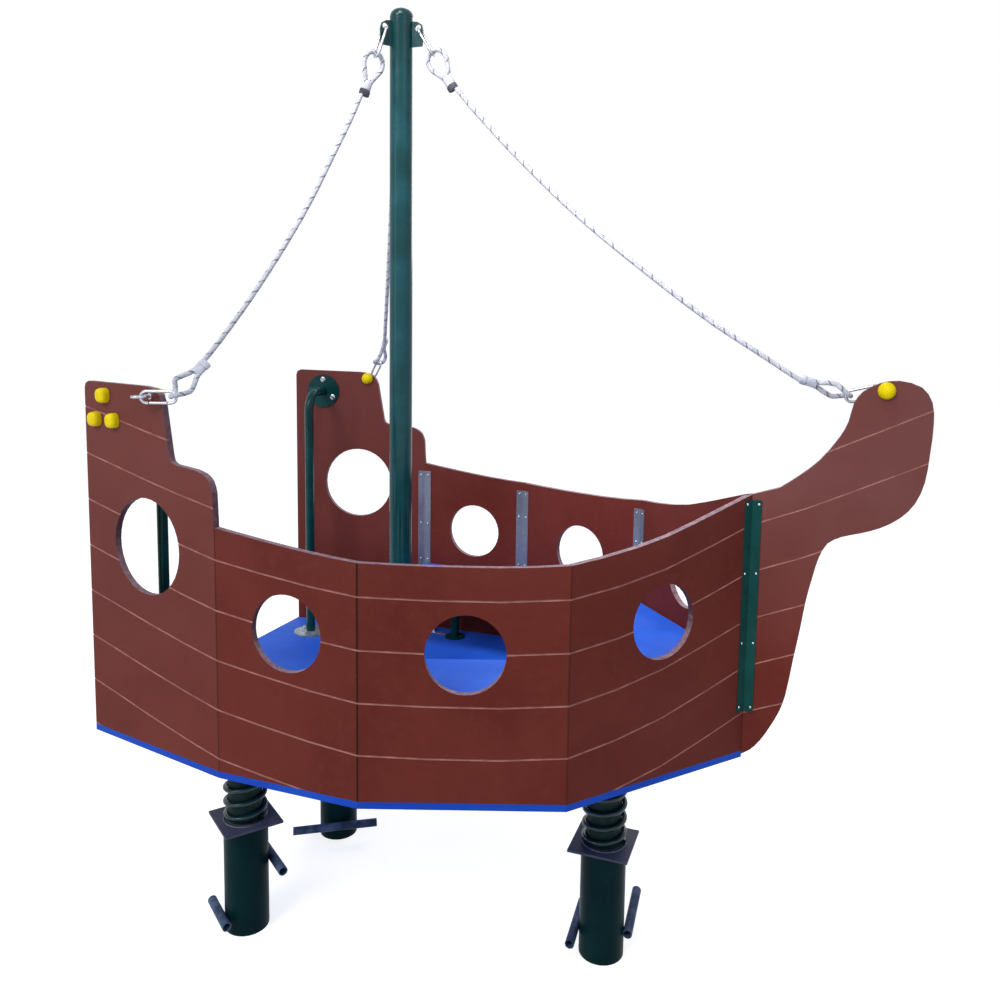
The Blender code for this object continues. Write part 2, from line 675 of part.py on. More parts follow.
def build_mast(finish, parent):
    x = STERN_X + MAST_X
    base = DECK_TOP + GAP
    bore = MAST_R - MAST_WALL
    tube = turned([(MAST_R, MAST_TOP), (MAST_R, base), (bore, base), (bore, MAST_TOP)], 24)
    tube.transform(Matrix.Translation((x, 0, 0)))
    parts = [lug_plate(azimuth) for azimuth in (0.0, 126.0, -126.0)]
    half = MAST_FOOT / 2
    corners = [(x - half, -half), (x + half, -half), (x + half, half), (x - half, half)]
    foot = slab(corners, base, base + MAST_FOOT_T)
    inner, low = MAST_R - WELD, base + MAST_FOOT_T - WELD
    parts.append(boolean(foot, [rod((x, 0, base - 0.02), (x, 0, base + 0.03), inner, 24)]))
    for k in range(4):
        web = prism([(inner, low), (WEB_REACH, low), (WEB_REACH, low + 0.010), (inner, base + WEB_H)], WEB_T)
        web.transform(Matrix.Translation((x, 0, 0)) @ Matrix.Rotation(math.radians(90 * k + 45), 4, "Z")
                      @ Matrix.Translation((0, -WEB_T / 2, 0)))
        parts.append(web)
    link("mast", boolean(tube, parts, "UNION"), finish, parent)


def build_mast_cap(finish, parent):
    """Domed cap whose spigot sits inside the tube."""
    z = MAST_TOP + GAP
    spigot = MAST_R - MAST_WALL - GAP
    profile = [(MAST_R * math.sin(math.radians(a)), z + CAP_BAND + CAP_DOME * math.cos(math.radians(a)))
               for a in (0, 22, 44, 66, 90)]
    profile += [(MAST_R, z), (spigot, z), (spigot, z - CAP_SPIGOT), (0.0, z - CAP_SPIGOT)]
    mesh = turned(profile, 24)
    link("mast_cap", mesh, finish, parent, (STERN_X + MAST_X, 0, 0))


def basis(x_axis, y_axis):
    """Rotation whose local X and Y point along the given directions, which are made square."""
    x_axis = Vector(x_axis).normalized()
    y_axis = (Vector(y_axis) - x_axis * x_axis.dot(Vector(y_axis))).normalized()
    return Matrix((x_axis, y_axis, x_axis.cross(y_axis))).transposed().to_quaternion()


def direction(azimuth, elevation):
    a, e = math.radians(azimuth), math.radians(elevation)
    return Vector((math.cos(a) * math.cos(e), math.sin(a) * math.cos(e), math.sin(e)))


def hardware_places():
    """Where each rope's end fittings are: the pull directions, the eye ring and the mast lug."""
    up = Vector((0, 0, 1))
    places = {}
    for name, plan in RIGGING.items():
        if plan["side"]:
            plane = PanelPlane(0, plan["side"])
            face, outward = plane.at(EYE_U, EYE_Z), plane.outward.copy()
        else:
            face, outward = Vector((STERN_X + BOW_EYE[0], PROW_HALF, BOW_EYE[1])), Vector((0, 1, 0))
        place = {"face": face, "outward": outward, "ring": face + outward * EYE_OUT}
        place["hook"], place["eye"], place["top"] = (direction(*plan[key]) for key in ("hook", "eye", "top"))
        place["lug"] = Vector((STERN_X + MAST_X, 0, LUG_Z)) + direction(plan["lug"], 0) * LUG_REACH
        place["across"] = direction(plan["lug"] + 90, 0)
        place["lay"] = plan["lay"]
        upright = up - place["hook"] * place["hook"].dot(up)
        place["upright"] = upright.normalized()
        normal = (upright - outward * outward.dot(upright)).normalized()
        place["ring_turn"] = basis(outward, normal.cross(outward))
        in_ring = (place["hook"] - normal * place["hook"].dot(normal)).normalized()
        low = place["ring"] + in_ring * (EYE_RING - EYE_WIRE - HOOK_WIRE - RING_SLACK)
        place["low_hook"] = low + place["hook"] * HOOK_HALF
        place["top_hook"] = place["lug"] + place["top"] * (HANG + HOOK_HALF)
        places[name] = place
    return places


def build_eye_bolts(places, finish, parent):
    """Ring, collar and shank in one forging; local X is out of the board, local Y is the pull."""
    for name, place in places.items():
        ring = closed_ring(EYE_RING, EYE_WIRE, 16, 6)
        collar = rod((-EYE_OUT + GAP, 0, 0), (-EYE_OUT + COLLAR_T, 0, 0), COLLAR_R, 12)
        inner = -EYE_OUT + COLLAR_T - WELD
        neck = rod((inner, 0, 0), (-EYE_RING, 0, 0), NECK_R, 10)
        shank = rod((inner, 0, 0), (-EYE_OUT - BOARD - BOLT_END, 0, 0), BOLT_R, 10)
        mesh = boolean(ring, [collar, neck, shank], "UNION")
        link(f"eye_bolt_{name}", mesh, finish, parent, place["ring"], place["ring_turn"])


def closed_ring(radius, wire, steps, sides):
    """A round bar bent to a full circle about Z."""
    bm = bmesh.new()
    angles = [2 * math.pi * k / sides for k in range(sides)]
    section = [bm.verts.new((radius + wire * math.cos(a), 0.0, wire * math.sin(a))) for a in angles]
    edges = [bm.edges.new((section[k], section[(k + 1) % sides])) for k in range(sides)]
    bmesh.ops.spin(bm, geom=section + edges, cent=(0, 0, 0), axis=(0, 0, 1), angle=2 * math.pi,
                   steps=steps, use_merge=True)
    bmesh.ops.remove_doubles(bm, verts=bm.verts, dist=1e-6)
    return mesh_from(bm, "ring")


def build_nut_caps(places, finish, parent):
    """Domed cap on the board's other face, hollow over the eye bolt's nut."""
    profile = [(0.0, 0.022), (0.012, 0.0205), (0.021, 0.015), (0.0255, 0.006), (0.0262, 0.0),
               (0.0130, 0.0), (0.0130, 0.014), (0.0, 0.014)]
    for name, place in places.items():
        point = place["face"] - place["outward"] * (BOARD + GAP)
        turn = Vector((0, 0, 1)).rotation_difference(-place["outward"])
        link(f"nut_cap_{name}", turned(profile, 14), finish, parent, point, turn)


def carabiner_path():
    """Centre line of the hook: nose, top bow, back, lower bow, gate hinge; local X runs along it."""
    straight = HOOK_HALF - HOOK_BEND
    points = [(GATE_REACH + 0.0006, -HOOK_BEND)]
    points += [(straight + HOOK_BEND * math.sin(math.radians(a)), -HOOK_BEND * math.cos(math.radians(a)))
               for a in range(0, 181, 30)]
    points += [(-straight - HOOK_BEND * math.sin(math.radians(a)), HOOK_BEND * math.cos(math.radians(a)))
               for a in range(0, 181, 30)]
    points.append((-GATE_REACH - GATE_R - 0.0005, -HOOK_BEND))
    return [(x, y, 0) for x, y in points]


def build_carabiner(name, centre, pull, flat, finishes, parent):
    """Hook and gate; local X points along the pull, local Y lies in the hook's plane."""
    turn = basis(pull, flat)
    hook = swept_bar(carabiner_path(), HOOK_WIRE, 6)
    link(f"carabiner_{name}", hook, finishes[0], parent, centre, turn)
    hinge = bpy.data.objects.new(f"gate_axis_{name}", None)
    bpy.context.scene.collection.objects.link(hinge)
    hinge.location = centre + turn @ Vector((-GATE_REACH, -HOOK_BEND, 0))
    hinge.rotation_mode = "QUATERNION"
    hinge.rotation_quaternion = turn
    profile = [(0.0, -GATE_R)]
    profile += [(GATE_R * math.cos(math.radians(a)), GATE_R * math.sin(math.radians(a)))
                for a in (-60, -30, 0)]
    profile += [(GATE_R, 2 * GATE_REACH - 0.001), (GATE_R - 0.001, 2 * GATE_REACH), (0.0, 2 * GATE_REACH)]
    gate = turned(profile, 8)
    gate.transform(Matrix.Rotation(math.radians(90), 4, "Y"))
    link(f"gate_{name}", gate, finishes[1], hinge)


def eye_loop(tip, pull, through, spread):
    """Route of a rope eye from the end of its tail to the standing part.

    The rope goes through the hook along one axis, and its two legs lie apart along the other.
    """
    half = ((0.150, 0.0084), (0.125, 0.0088), (0.100, 0.0125), (0.075, 0.0235), (0.050, 0.0330),
            (0.027, 0.0325), (0.008, 0.0215))
    tail, main = [], []
    for reach, half_width in half:
        share = min(1.0, reach / 0.060)
        side = (through * (1 - share) + spread * share).normalized()
        tail.append(tip + pull * reach + side * half_width)
        main.append(tip + pull * reach - side * half_width)
    return tail + [tip] + list(reversed(main))


def rope_route(name, place):
    """Whole route of one rope, from the tail at the mast to the tail at the eye bolt."""
    bow_middle = HOOK_HALF - HOOK_BEND
    slack = HOOK_BEND - HOOK_WIRE - ROPE_R - 5 * GAP
    up = Vector((0, 0, 1))
    top_tip = place["top_hook"] + place["top"] * (bow_middle + slack)
    low_tip = place["low_hook"] + place["hook"] * bow_middle + place["eye"] * slack
    top_side = place["across"].cross(place["top"])
    top = eye_loop(top_tip, place["top"], top_side, top_side)
    low_side = place["upright"].cross(place["hook"]) * place["lay"]
    level = place["upright"].cross(place["eye"]).normalized() * place["lay"]
    low = eye_loop(low_tip, place["eye"], low_side, (level + place["eye"].cross(level)).normalized())
    start, end = top[-1], low[-1]
    sag = BOW_SAG if name == "bow" else SIDE_SAG
    span = [end + (start - end) * share - up * drop for share, drop in sag]
    route = top + list(reversed(span)) + list(reversed(low))
    half = len(top) // 2
    last = len(route) - 1
    knots = (0, half, 2 * half, last - 2 * half, last - half, last)
    span_steps = round((end - start).length / ROPE_STEP)
    return along_route(route, knots, (LOOP_STEPS, LOOP_STEPS, span_steps, LOOP_STEPS, LOOP_STEPS))


def build_ropes(places, finish, parent):
    for name, place in places.items():
        curve = bpy.data.curves.new(f"rope_{name}", "CURVE")
        curve.dimensions = "3D"
        curve.bevel_depth = ROPE_R
        curve.bevel_resolution = 2
        curve.use_fill_caps = True
        points = rope_route(name, place)
        strand = curve.splines.new("POLY")
        strand.points.add(len(points) - 1)
        for target, point in zip(strand.points, points):
            target.co = (*point, 1.0)
        curve.materials.append(material(f"rope_{name}", *finish))
        obj = bpy.data.objects.new(f"rope_{name}", curve)
        bpy.context.scene.collection.objects.link(obj)
        obj.parent = parent


def build_carabiners(places, finishes, parent):
    for name, place in places.items():
        build_carabiner(f"mast_{name}", place["top_hook"], place["top"], place["across"], finishes, parent)
        build_carabiner(f"hull_{name}", place["low_hook"], place["hook"], place["upright"], finishes, parent)


def build_anchor(name, x, y, finishes, parent):
    """Ground anchor: an open tube with two welded cross pipes, and the square plate on its upper end."""
    plan = ANCHORS[name]
    tube = turned([(TUBE_R, TUBE_TOP - GAP), (TUBE_R, 0.0), (TUBE_R - TUBE_WALL, 0.0),
                   (TUBE_R - TUBE_WALL, TUBE_TOP - GAP)], 28)
    reach = TUBE_R + PIPE_R - WELD
    pipes = []
    for z, side, a, b in plan["pipes"]:
        outer = rod((a, side * reach, z), (b, side * reach, z), PIPE_R, 12)
        bore = rod((a - 0.01, side * reach, z), (b + 0.01, side * reach, z), PIPE_R - PIPE_WALL, 12)
        cross = boolean(outer, [bore])
        cross.transform(Matrix.Rotation(math.radians(plan["pipe_turn"]), 4, "Z"))
        pipes.append(cross)
    link(f"anchor_{name}", boolean(tube, pipes, "UNION"), finishes[0], parent, (x, y, 0))
    half = PLATE_SIDE / 2
    plate = slab([(-half, -half), (half, -half), (half, half), (-half, half)], TUBE_TOP, SPRING_BASE)
    plate.transform(Matrix.Rotation(math.radians(plan["turn"]), 4, "Z"))
    link(f"base_plate_{name}", plate, finishes[1], parent, (x, y, 0))


def coil_rise(t):
    """Share of the coil's height at share t of its turns: flat at both ends, even in between."""
    pace = 1 / (1 - COIL_FLAT)
    if t < COIL_FLAT:
        return pace * t ** 2 / (2 * COIL_FLAT)
    if t > 1 - COIL_FLAT:
        return 1 - pace * (1 - t) ** 2 / (2 * COIL_FLAT)
    return pace * (t - COIL_FLAT / 2)


def build_spring(name, x, y, finishes, parent):
    """Coil with its ends laid flat on the plates, wound round a core."""
    radius = COIL_OUTER - COIL_WIRE
    low = SPRING_BASE + COIL_WIRE + GAP
    high = SPRING_BASE + SPRING_H - COIL_WIRE - GAP
    turns = (high - low) / COIL_PITCH / (1 - COIL_FLAT)
    count = round(turns * COIL_STEPS)
    points = []
    for k in range(count + 1):
        t = k / count
        height = coil_rise(t)
        angle = 2 * math.pi * turns * t
        points.append((radius * math.cos(angle), radius * math.sin(angle), low + (high - low) * height))
    coil = swept_bar(points, COIL_WIRE, 6)
    link(f"spring_coil_{name}", coil, finishes[0], parent, (x, y, 0))
    core = rod((0, 0, SPRING_BASE + GAP), (0, 0, SPRING_BASE + SPRING_H - GAP), CORE_R, 20)
    link(f"spring_core_{name}", core, finishes[1], parent, (x, y, 0))


def build_top_plate(name, x, y, finish, parent):
    half = PLATE_SIDE / 2
    z = SPRING_BASE + SPRING_H
    plate = slab([(-half, -half), (half, -half), (half, half), (-half, half)], z, DECK_Z - GAP)
    plate.transform(Matrix.Rotation(math.radians(ANCHORS[name]["turn"]), 4, "Z"))
    link(f"top_plate_{name}", plate, finish, parent, (x, y, 0))


def empty(name, parent=None, location=(0, 0, 0)):
    obj = bpy.data.objects.new(name, None)
    obj.location = location
    bpy.context.scene.collection.objects.link(obj)
    obj.parent = parent
    return obj


def build():
    clear_scene()
    green = (DARK_GREEN, 0.35, 0.3)
    zinc = (ZINC, 0.45, 0.8)
    board = (BROWN, 0.45)
    ground = empty("ground_axis")
    rocker = empty("spring_axis")
    hull = empty("hull_axis")

    stations = (("stern_starboard", SPRING_X_STERN, -SPRING_Y), ("stern_port", SPRING_X_STERN, SPRING_Y),
                ("bow", SPRING_X_BOW, 0.0))
    for name, x, y in stations:
        build_anchor(name, STERN_X + x, y, (green, zinc), ground)
        build_spring(name, STERN_X + x, y, (green, (BLACK, 0.7)), rocker)
        build_top_plate(name, STERN_X + x, y, zinc, hull)

    build_deck((BLUE, 0.4), hull)
    panel_names = ("stern_quarter_panel", "waist_panel", "midship_panel", "bow_panel")
    for side, side_name in ((-1, "starboard"), (1, "port")):
        for number, panel_name in enumerate(panel_names):
            holes = ((EYE_U, EYE_Z),) if number == 0 else ()
            link(f"{panel_name}_{side_name}", side_panel(number, side, holes), board, hull)
    build_prow(board, hull)
    build_bench((BLUE, 0.4), hull)
    build_bench_frame(green, hull)
    build_seam_brackets(zinc, hull)
    build_bow_brackets(green, hull)
    build_grab_rails(green, hull)
    build_mast(green, hull)
    build_mast_cap(green, hull)

    places = hardware_places()
    build_eye_bolts(places, zinc, hull)
    build_nut_caps(places, (YELLOW, 0.35), hull)
    build_carabiners(places, (zinc, zinc), hull)
    build_ropes(places, (OFF_WHITE, 0.8), hull)


build()
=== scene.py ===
"""Looks of the ship-shaped spring rider: materials, ropes, screws, coils, light and camera."""

import json
import math

import bmesh
import bpy
from mathutils import Matrix, Vector


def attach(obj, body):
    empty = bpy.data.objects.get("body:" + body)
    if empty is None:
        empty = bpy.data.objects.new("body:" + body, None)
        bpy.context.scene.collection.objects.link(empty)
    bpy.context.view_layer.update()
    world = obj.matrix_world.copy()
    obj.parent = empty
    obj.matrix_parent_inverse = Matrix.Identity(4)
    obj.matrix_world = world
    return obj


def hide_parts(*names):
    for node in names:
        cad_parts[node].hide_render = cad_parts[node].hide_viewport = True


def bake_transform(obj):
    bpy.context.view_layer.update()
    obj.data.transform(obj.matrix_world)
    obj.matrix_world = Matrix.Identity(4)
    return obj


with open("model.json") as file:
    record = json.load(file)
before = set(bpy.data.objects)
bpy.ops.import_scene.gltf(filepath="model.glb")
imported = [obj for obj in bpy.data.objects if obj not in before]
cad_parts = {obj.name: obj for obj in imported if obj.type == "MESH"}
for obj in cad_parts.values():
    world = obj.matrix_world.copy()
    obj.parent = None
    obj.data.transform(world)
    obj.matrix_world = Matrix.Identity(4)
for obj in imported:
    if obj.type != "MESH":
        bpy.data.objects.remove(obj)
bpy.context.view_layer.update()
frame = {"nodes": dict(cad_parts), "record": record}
NODES = frame["nodes"]

# The part's own sizes, as its source has them
GAP = 0.0003
BOARD = 0.021
SPRING_BASE = 0.416
SPRING_H = 0.388
DECK_Z = 0.812
DECK_TOP = DECK_Z + BOARD
STERN_X = -1.3035
# Seams between the side panels: distance from the stern and half width of the hull
SEAM_X = (0.0, 0.604, 1.086, 1.655)
SEAM_W = (0.631, 0.753, 0.753, 0.548)
NOSE_X = 2.099
PROW_HALF = BOARD / 2
# Rise of the rim and of the plank lines along the hull
SHEER = ((0.0, 0.188), (0.30, 0.122), (0.60, 0.067), (1.0, 0.015), (1.40, 0.0), (1.66, 0.010),
         (1.84, 0.044), (1.96, 0.092), (2.10, 0.158), (2.25, 0.218), (2.62, 0.397))
SHEER_TOP = 0.42
# Plank grooves: spacing, height of one line over the deck, depth, and into how many straight
# stretches each panel's grooves are cut; on the prow, start aft of the nose, length and stretches
PLANK = 0.156
PLANK_LINE_Z = 0.620
GROOVE_DEPTH = 0.0025
GROOVE_STEPS = (4, 3, 3, 4)
PROW_GROOVE = (0.06, 0.56, 5)
# Springs: places from the stern, and sizes of the anchor tube, the coil and the core
SPRINGS = {"stern_starboard": (0.383, -0.329), "stern_port": (0.383, 0.329), "bow": (1.646, 0.0)}
TUBE_R = 0.0795
COIL_OUTER = 0.079
COIL_WIRE = 0.009
COIL_PITCH = 0.052
COIL_FLAT = 0.11
CORE_R = 0.0606
# Mast, and the lugs that the ropes hang from
MAST_X = 0.847
LUG_Z = DECK_Z + 2.430
LUG_REACH = 0.064
# Eye bolts, carabiners (hooks) and rope, with the play between them
EYE_U = 0.341
EYE_Z = DECK_Z + 1.166
BOW_EYE = (2.474, DECK_Z + 1.219)
EYE_OUT = 0.045
EYE_RING = 0.020
EYE_WIRE = 0.005
HOOK_WIRE = 0.005
HOOK_BEND = 0.018
HOOK_HALF = 0.055
ROPE_R = 0.008
HANG = 0.005
RING_SLACK = 0.004
# Grab rails: place along the panel on each side, height of the wall flange, reach from the panel
RAIL_U = {-1: 0.107, 1: 0.131}
RAIL_Z = DECK_Z + 1.105
RAIL_OUT = 0.185
RAIL_FLANGE = 0.006
MAST_FLANGE = 0.008
# Rigging: side of the hull that the eye bolt is on, and directions of the end fittings as
# (azimuth, elevation) in degrees. "lug" is the mast lug's azimuth, and "lay" tells which leg of
# the lower eye is the tail.
RIGGING = {
    "starboard": {"side": -1, "hook": (20, 0), "eye": (68, 41), "top": (-126, -71.5), "lug": -126, "lay": -1},
    "port": {"side": 1, "hook": (-34, 45), "eye": (-48, 42), "top": (126, -71.5), "lug": 126, "lay": 1},
    "bow": {"side": 0, "hook": (180, -14), "eye": (180, 18), "top": (0, -58), "lug": 0, "lay": 1},
}
# Sag of a rope: share of the way from the hull to the mast, and drop below the straight line
SIDE_SAG = ((0.15, 0.033), (0.31, 0.057), (0.50, 0.071), (0.66, 0.068), (0.81, 0.044), (0.92, 0.025))
BOW_SAG = ((0.10, 0.023), (0.25, 0.056), (0.44, 0.075), (0.62, 0.080), (0.80, 0.058), (0.92, 0.029))

# Fasteners and trim, which only this file has
BOLT = 0.0095
RAIL_BOLT_CIRCLE = 0.053
MAST_BOLT_REACH = 0.082
BRACKET_FACE = 0.0034
BRACKET_SCREWS = {1: (0.93, 1.153, 1.319, 1.543),
                  2: (0.93, 1.171, 1.387, 1.490),
                  3: (0.93, 1.171, 1.371, 1.488)}
BRACKET_SCREW_OUT = 0.017
BOW_SCREWS = (0.845, 0.620, 0.390, 0.175)
BOW_SCREW_OUT = 0.022
CAP_RADIUS = 0.0245
CAP_HEIGHT = 0.026
CAP_POWER = 3.1
CAP_SIDES = 32
CAP_LEVELS = ((1.0, 0.0), (1.0, 0.30), (0.965, 0.55), (0.88, 0.76), (0.72, 0.91), (0.45, 0.985))
CAP_TWIST = 0.0004
STRAP_AT = (0.635, 0.640)
STRAP_BOXES = (((0.0, 0.0, 0.0), (0.052, 0.030, 0.003)),
               ((0.052, 0.006, 0.0), (0.130, 0.024, 0.003)),
               ((0.0, 0.027, 0.003), (0.052, 0.030, 0.045)))
WELD_BEAD = 0.0030
# Sleeves on the rope eyes: where they start and stop, half width and half thickness
SLEEVE_SIZE = (0.106, 0.1375, 0.0178, 0.0102)
BAND_SIZE = (0.138, 0.158, 0.0192, 0.0118)
SLEEVE_SIDES = 28
STRANDS = 3
STRAND_LAY = 0.055
TRACER_LAY = 0.042
YARNS = 12.0
YARNS_PER_METRE = 330.0

# The camera: place, then yaw, pitch and roll in degrees, lens as a share of the sensor's width
CAMERA_AT = (0.9752, -2.8697, 2.1755)
CAMERA_TURN = (19.99, 5.90, 0.80)
CAMERA_SENSOR = 36.0
CAMERA_LENS = 0.8724
CAMERA_SHIFT = -0.0727

UP = Vector((0, 0, 1))
BODY_OF = {node: body for body, nodes in frame["record"]["behaviour"]["bodies"].items() for node in nodes}


def hermite(table, x):
    """Value at x of a smooth curve through (x, value) pairs, with slopes from the neighbours."""
    last = len(table) - 1
    i = 0
    while i < last - 1 and x > table[i + 1][0]:
        i += 1

    def slope(k):
        a, b = table[max(k - 1, 0)], table[min(k + 1, last)]
        return (b[1] - a[1]) / (b[0] - a[0])

    (x0, y0), (x1, y1) = table[i], table[i + 1]
    h = x1 - x0
    t = (x - x0) / h
    a = (2 * t ** 3 - 3 * t ** 2 + 1) * y0 + (t ** 3 - 2 * t ** 2 + t) * h * slope(i)
    b = (3 * t ** 2 - 2 * t ** 3) * y1 + (t ** 3 - t ** 2) * h * slope(i + 1)
    return a + b


def direction(azimuth, elevation=0.0):
    """Unit vector from angles in degrees; azimuth 0 is towards the bow, 90 to port."""
    a, e = math.radians(azimuth), math.radians(elevation)
    return Vector((math.cos(a) * math.cos(e), math.sin(a) * math.cos(e), math.sin(e)))


class PanelPlane:
    """Outer face of one side panel: u runs forward along it, side is -1 to starboard, +1 to port."""

    def __init__(self, number, side):
        ends = [(STERN_X + x, side * w) for x, w in zip(SEAM_X, SEAM_W)]
        ends.append((STERN_X + NOSE_X, side * (PROW_HALF + GAP)))
        self.start = Vector((*ends[number], 0))
        self.end = Vector((*ends[number + 1], 0))
        self.length = (self.end - self.start).length
        self.along = (self.end - self.start).normalized()
        self.outward = Vector((self.along.y, -self.along.x, 0)) * (1 if side < 0 else -1)

    def at(self, u, z, out=0.0):
        return self.start + self.along * u + self.outward * out + Vector((0, 0, z))

    def from_stern(self, u):
        return self.start.x + self.along.x * u - STERN_X

    def groove_stations(self, number):
        """Distances from the stern at which the plank grooves of this panel bend."""
        steps = GROOVE_STEPS[number]
        return [self.from_stern(-0.01 + (self.length + 0.02) * k / steps) for k in range(steps + 1)]


# Materials


class Shader:
    """A Principled material and short ways to wire nodes into it.

    Keywords of node() and set() name a node's property or an input, with _ for spaces.
    """

    def __init__(self, name):
        self.mat = bpy.data.materials.new(name)
        self.mat.use_nodes = True
        self.tree = self.mat.node_tree
        self.bsdf = self.tree.nodes["Principled BSDF"]
        self.coords = self.node("ShaderNodeTexCoord")
        self.object = self.coords.outputs["Object"]

    def node(self, kind, **values):
        made = self.tree.nodes.new(kind)
        for key, value in values.items():
            if hasattr(made, key):
                setattr(made, key, value)
            else:
                made.inputs[key.replace("_", " ")].default_value = value
        return made

    def feed(self, socket, value):
        if isinstance(value, bpy.types.NodeSocket):
            self.tree.links.new(value, socket)
        else:
            socket.default_value = value

    def math(self, operation, a, b=0.0, clamp=False):
        made = self.node("ShaderNodeMath", operation=operation, use_clamp=clamp)
        self.feed(made.inputs[0], a)
        self.feed(made.inputs[1], b)
        return made.outputs[0]

    def ramp(self, value, low, high, out_low=0.0, out_high=1.0):
        made = self.node("ShaderNodeMapRange", interpolation_type="SMOOTHSTEP")
        for socket, item in zip(made.inputs, (value, low, high, out_low, out_high)):
            self.feed(socket, item)
        return made.outputs[0]

    def mix(self, factor, a, b, blend="MIX"):
        made = self.node("ShaderNodeMix", data_type="RGBA", blend_type=blend)
        self.feed(made.inputs[0], factor)
        for socket, item in zip(made.inputs[6:8], (a, b)):
            self.feed(socket, (*item, 1.0) if isinstance(item, tuple) else item)
        return made.outputs[2]

    def noise(self, scale, detail=4.0, rough=0.5, stretch=None, distort=0.0):
        source = self.object
        if stretch:
            mapping = self.node("ShaderNodeMapping")
            self.feed(mapping.inputs["Vector"], source)
            mapping.inputs["Scale"].default_value = stretch
            source = mapping.outputs[0]
        made = self.node("ShaderNodeTexNoise", Scale=scale, Detail=detail, Roughness=rough,
                         Distortion=distort)
        self.feed(made.inputs["Vector"], source)
        return made.outputs["Fac"]

    def cells(self, scale, output="Distance"):
        made = self.node("ShaderNodeTexVoronoi", Scale=scale)
        self.feed(made.inputs["Vector"], self.object)
        return made.outputs[output]

    def split(self, vector):
        made = self.node("ShaderNodeSeparateXYZ")
        self.feed(made.inputs[0], vector)
        return made.outputs

    def dot(self, vector, axis):
        made = self.node("ShaderNodeVectorMath", operation="DOT_PRODUCT")
        self.feed(made.inputs[0], vector)
        made.inputs[1].default_value = axis
        return made.outputs["Value"]

    def set(self, **values):
        for key, value in values.items():
            self.feed(self.bsdf.inputs[key.replace("_", " ")], value)

    def bump(self, height, strength, distance):
        made = self.node("ShaderNodeBump", Strength=strength, Distance=distance)
        self.feed(made.inputs["Height"], height)
        return made.outputs[0]


def facing(s, axis):
    """How far the surface faces along an axis, from -1 to 1."""
    return s.dot(s.coords.outputs["Normal"], axis)


def from_plane(s, point, axis):
    """Distance of the surface from the plane through point, square to axis."""
    shift = s.node("ShaderNodeVectorMath", operation="SUBTRACT")
    s.feed(shift.inputs[0], s.object)
    shift.inputs[1].default_value = point
    return s.math("ABSOLUTE", s.dot(shift.outputs[0], axis))


def groove_mask(s, stations, x, z):
    """1 in the plank grooves, whose height runs straight between the stations."""
    first, last = stations[0], stations[-1]
    curve = s.node("ShaderNodeFloatCurve")
    line = curve.mapping.curves[0]
    for _ in stations[2:]:
        line.points.new(0.5, 0.5)
    for point, station in zip(line.points, stations):
        rise = hermite(SHEER, max(station, 0.0))
        point.location = ((station - first) / (last - first), rise / SHEER_TOP)
        point.handle_type = "VECTOR"
    curve.mapping.update()
    share = s.math("DIVIDE", s.math("SUBTRACT", x, STERN_X + first), last - first, clamp=True)
    s.feed(curve.inputs["Value"], share)
    rise = s.math("MULTIPLY", curve.outputs[0], SHEER_TOP)
    level = s.math("SUBTRACT", s.math("SUBTRACT", z, DECK_Z + PLANK_LINE_Z), rise)
    planks = s.math("DIVIDE", level, PLANK)
    off = s.math("MULTIPLY", s.math("SUBTRACT", planks, s.math("ROUND", planks)), PLANK)
    return s.ramp(s.math("ABSOLUTE", off), GROOVE_DEPTH + 0.0006, GROOVE_DEPTH - 0.0004)


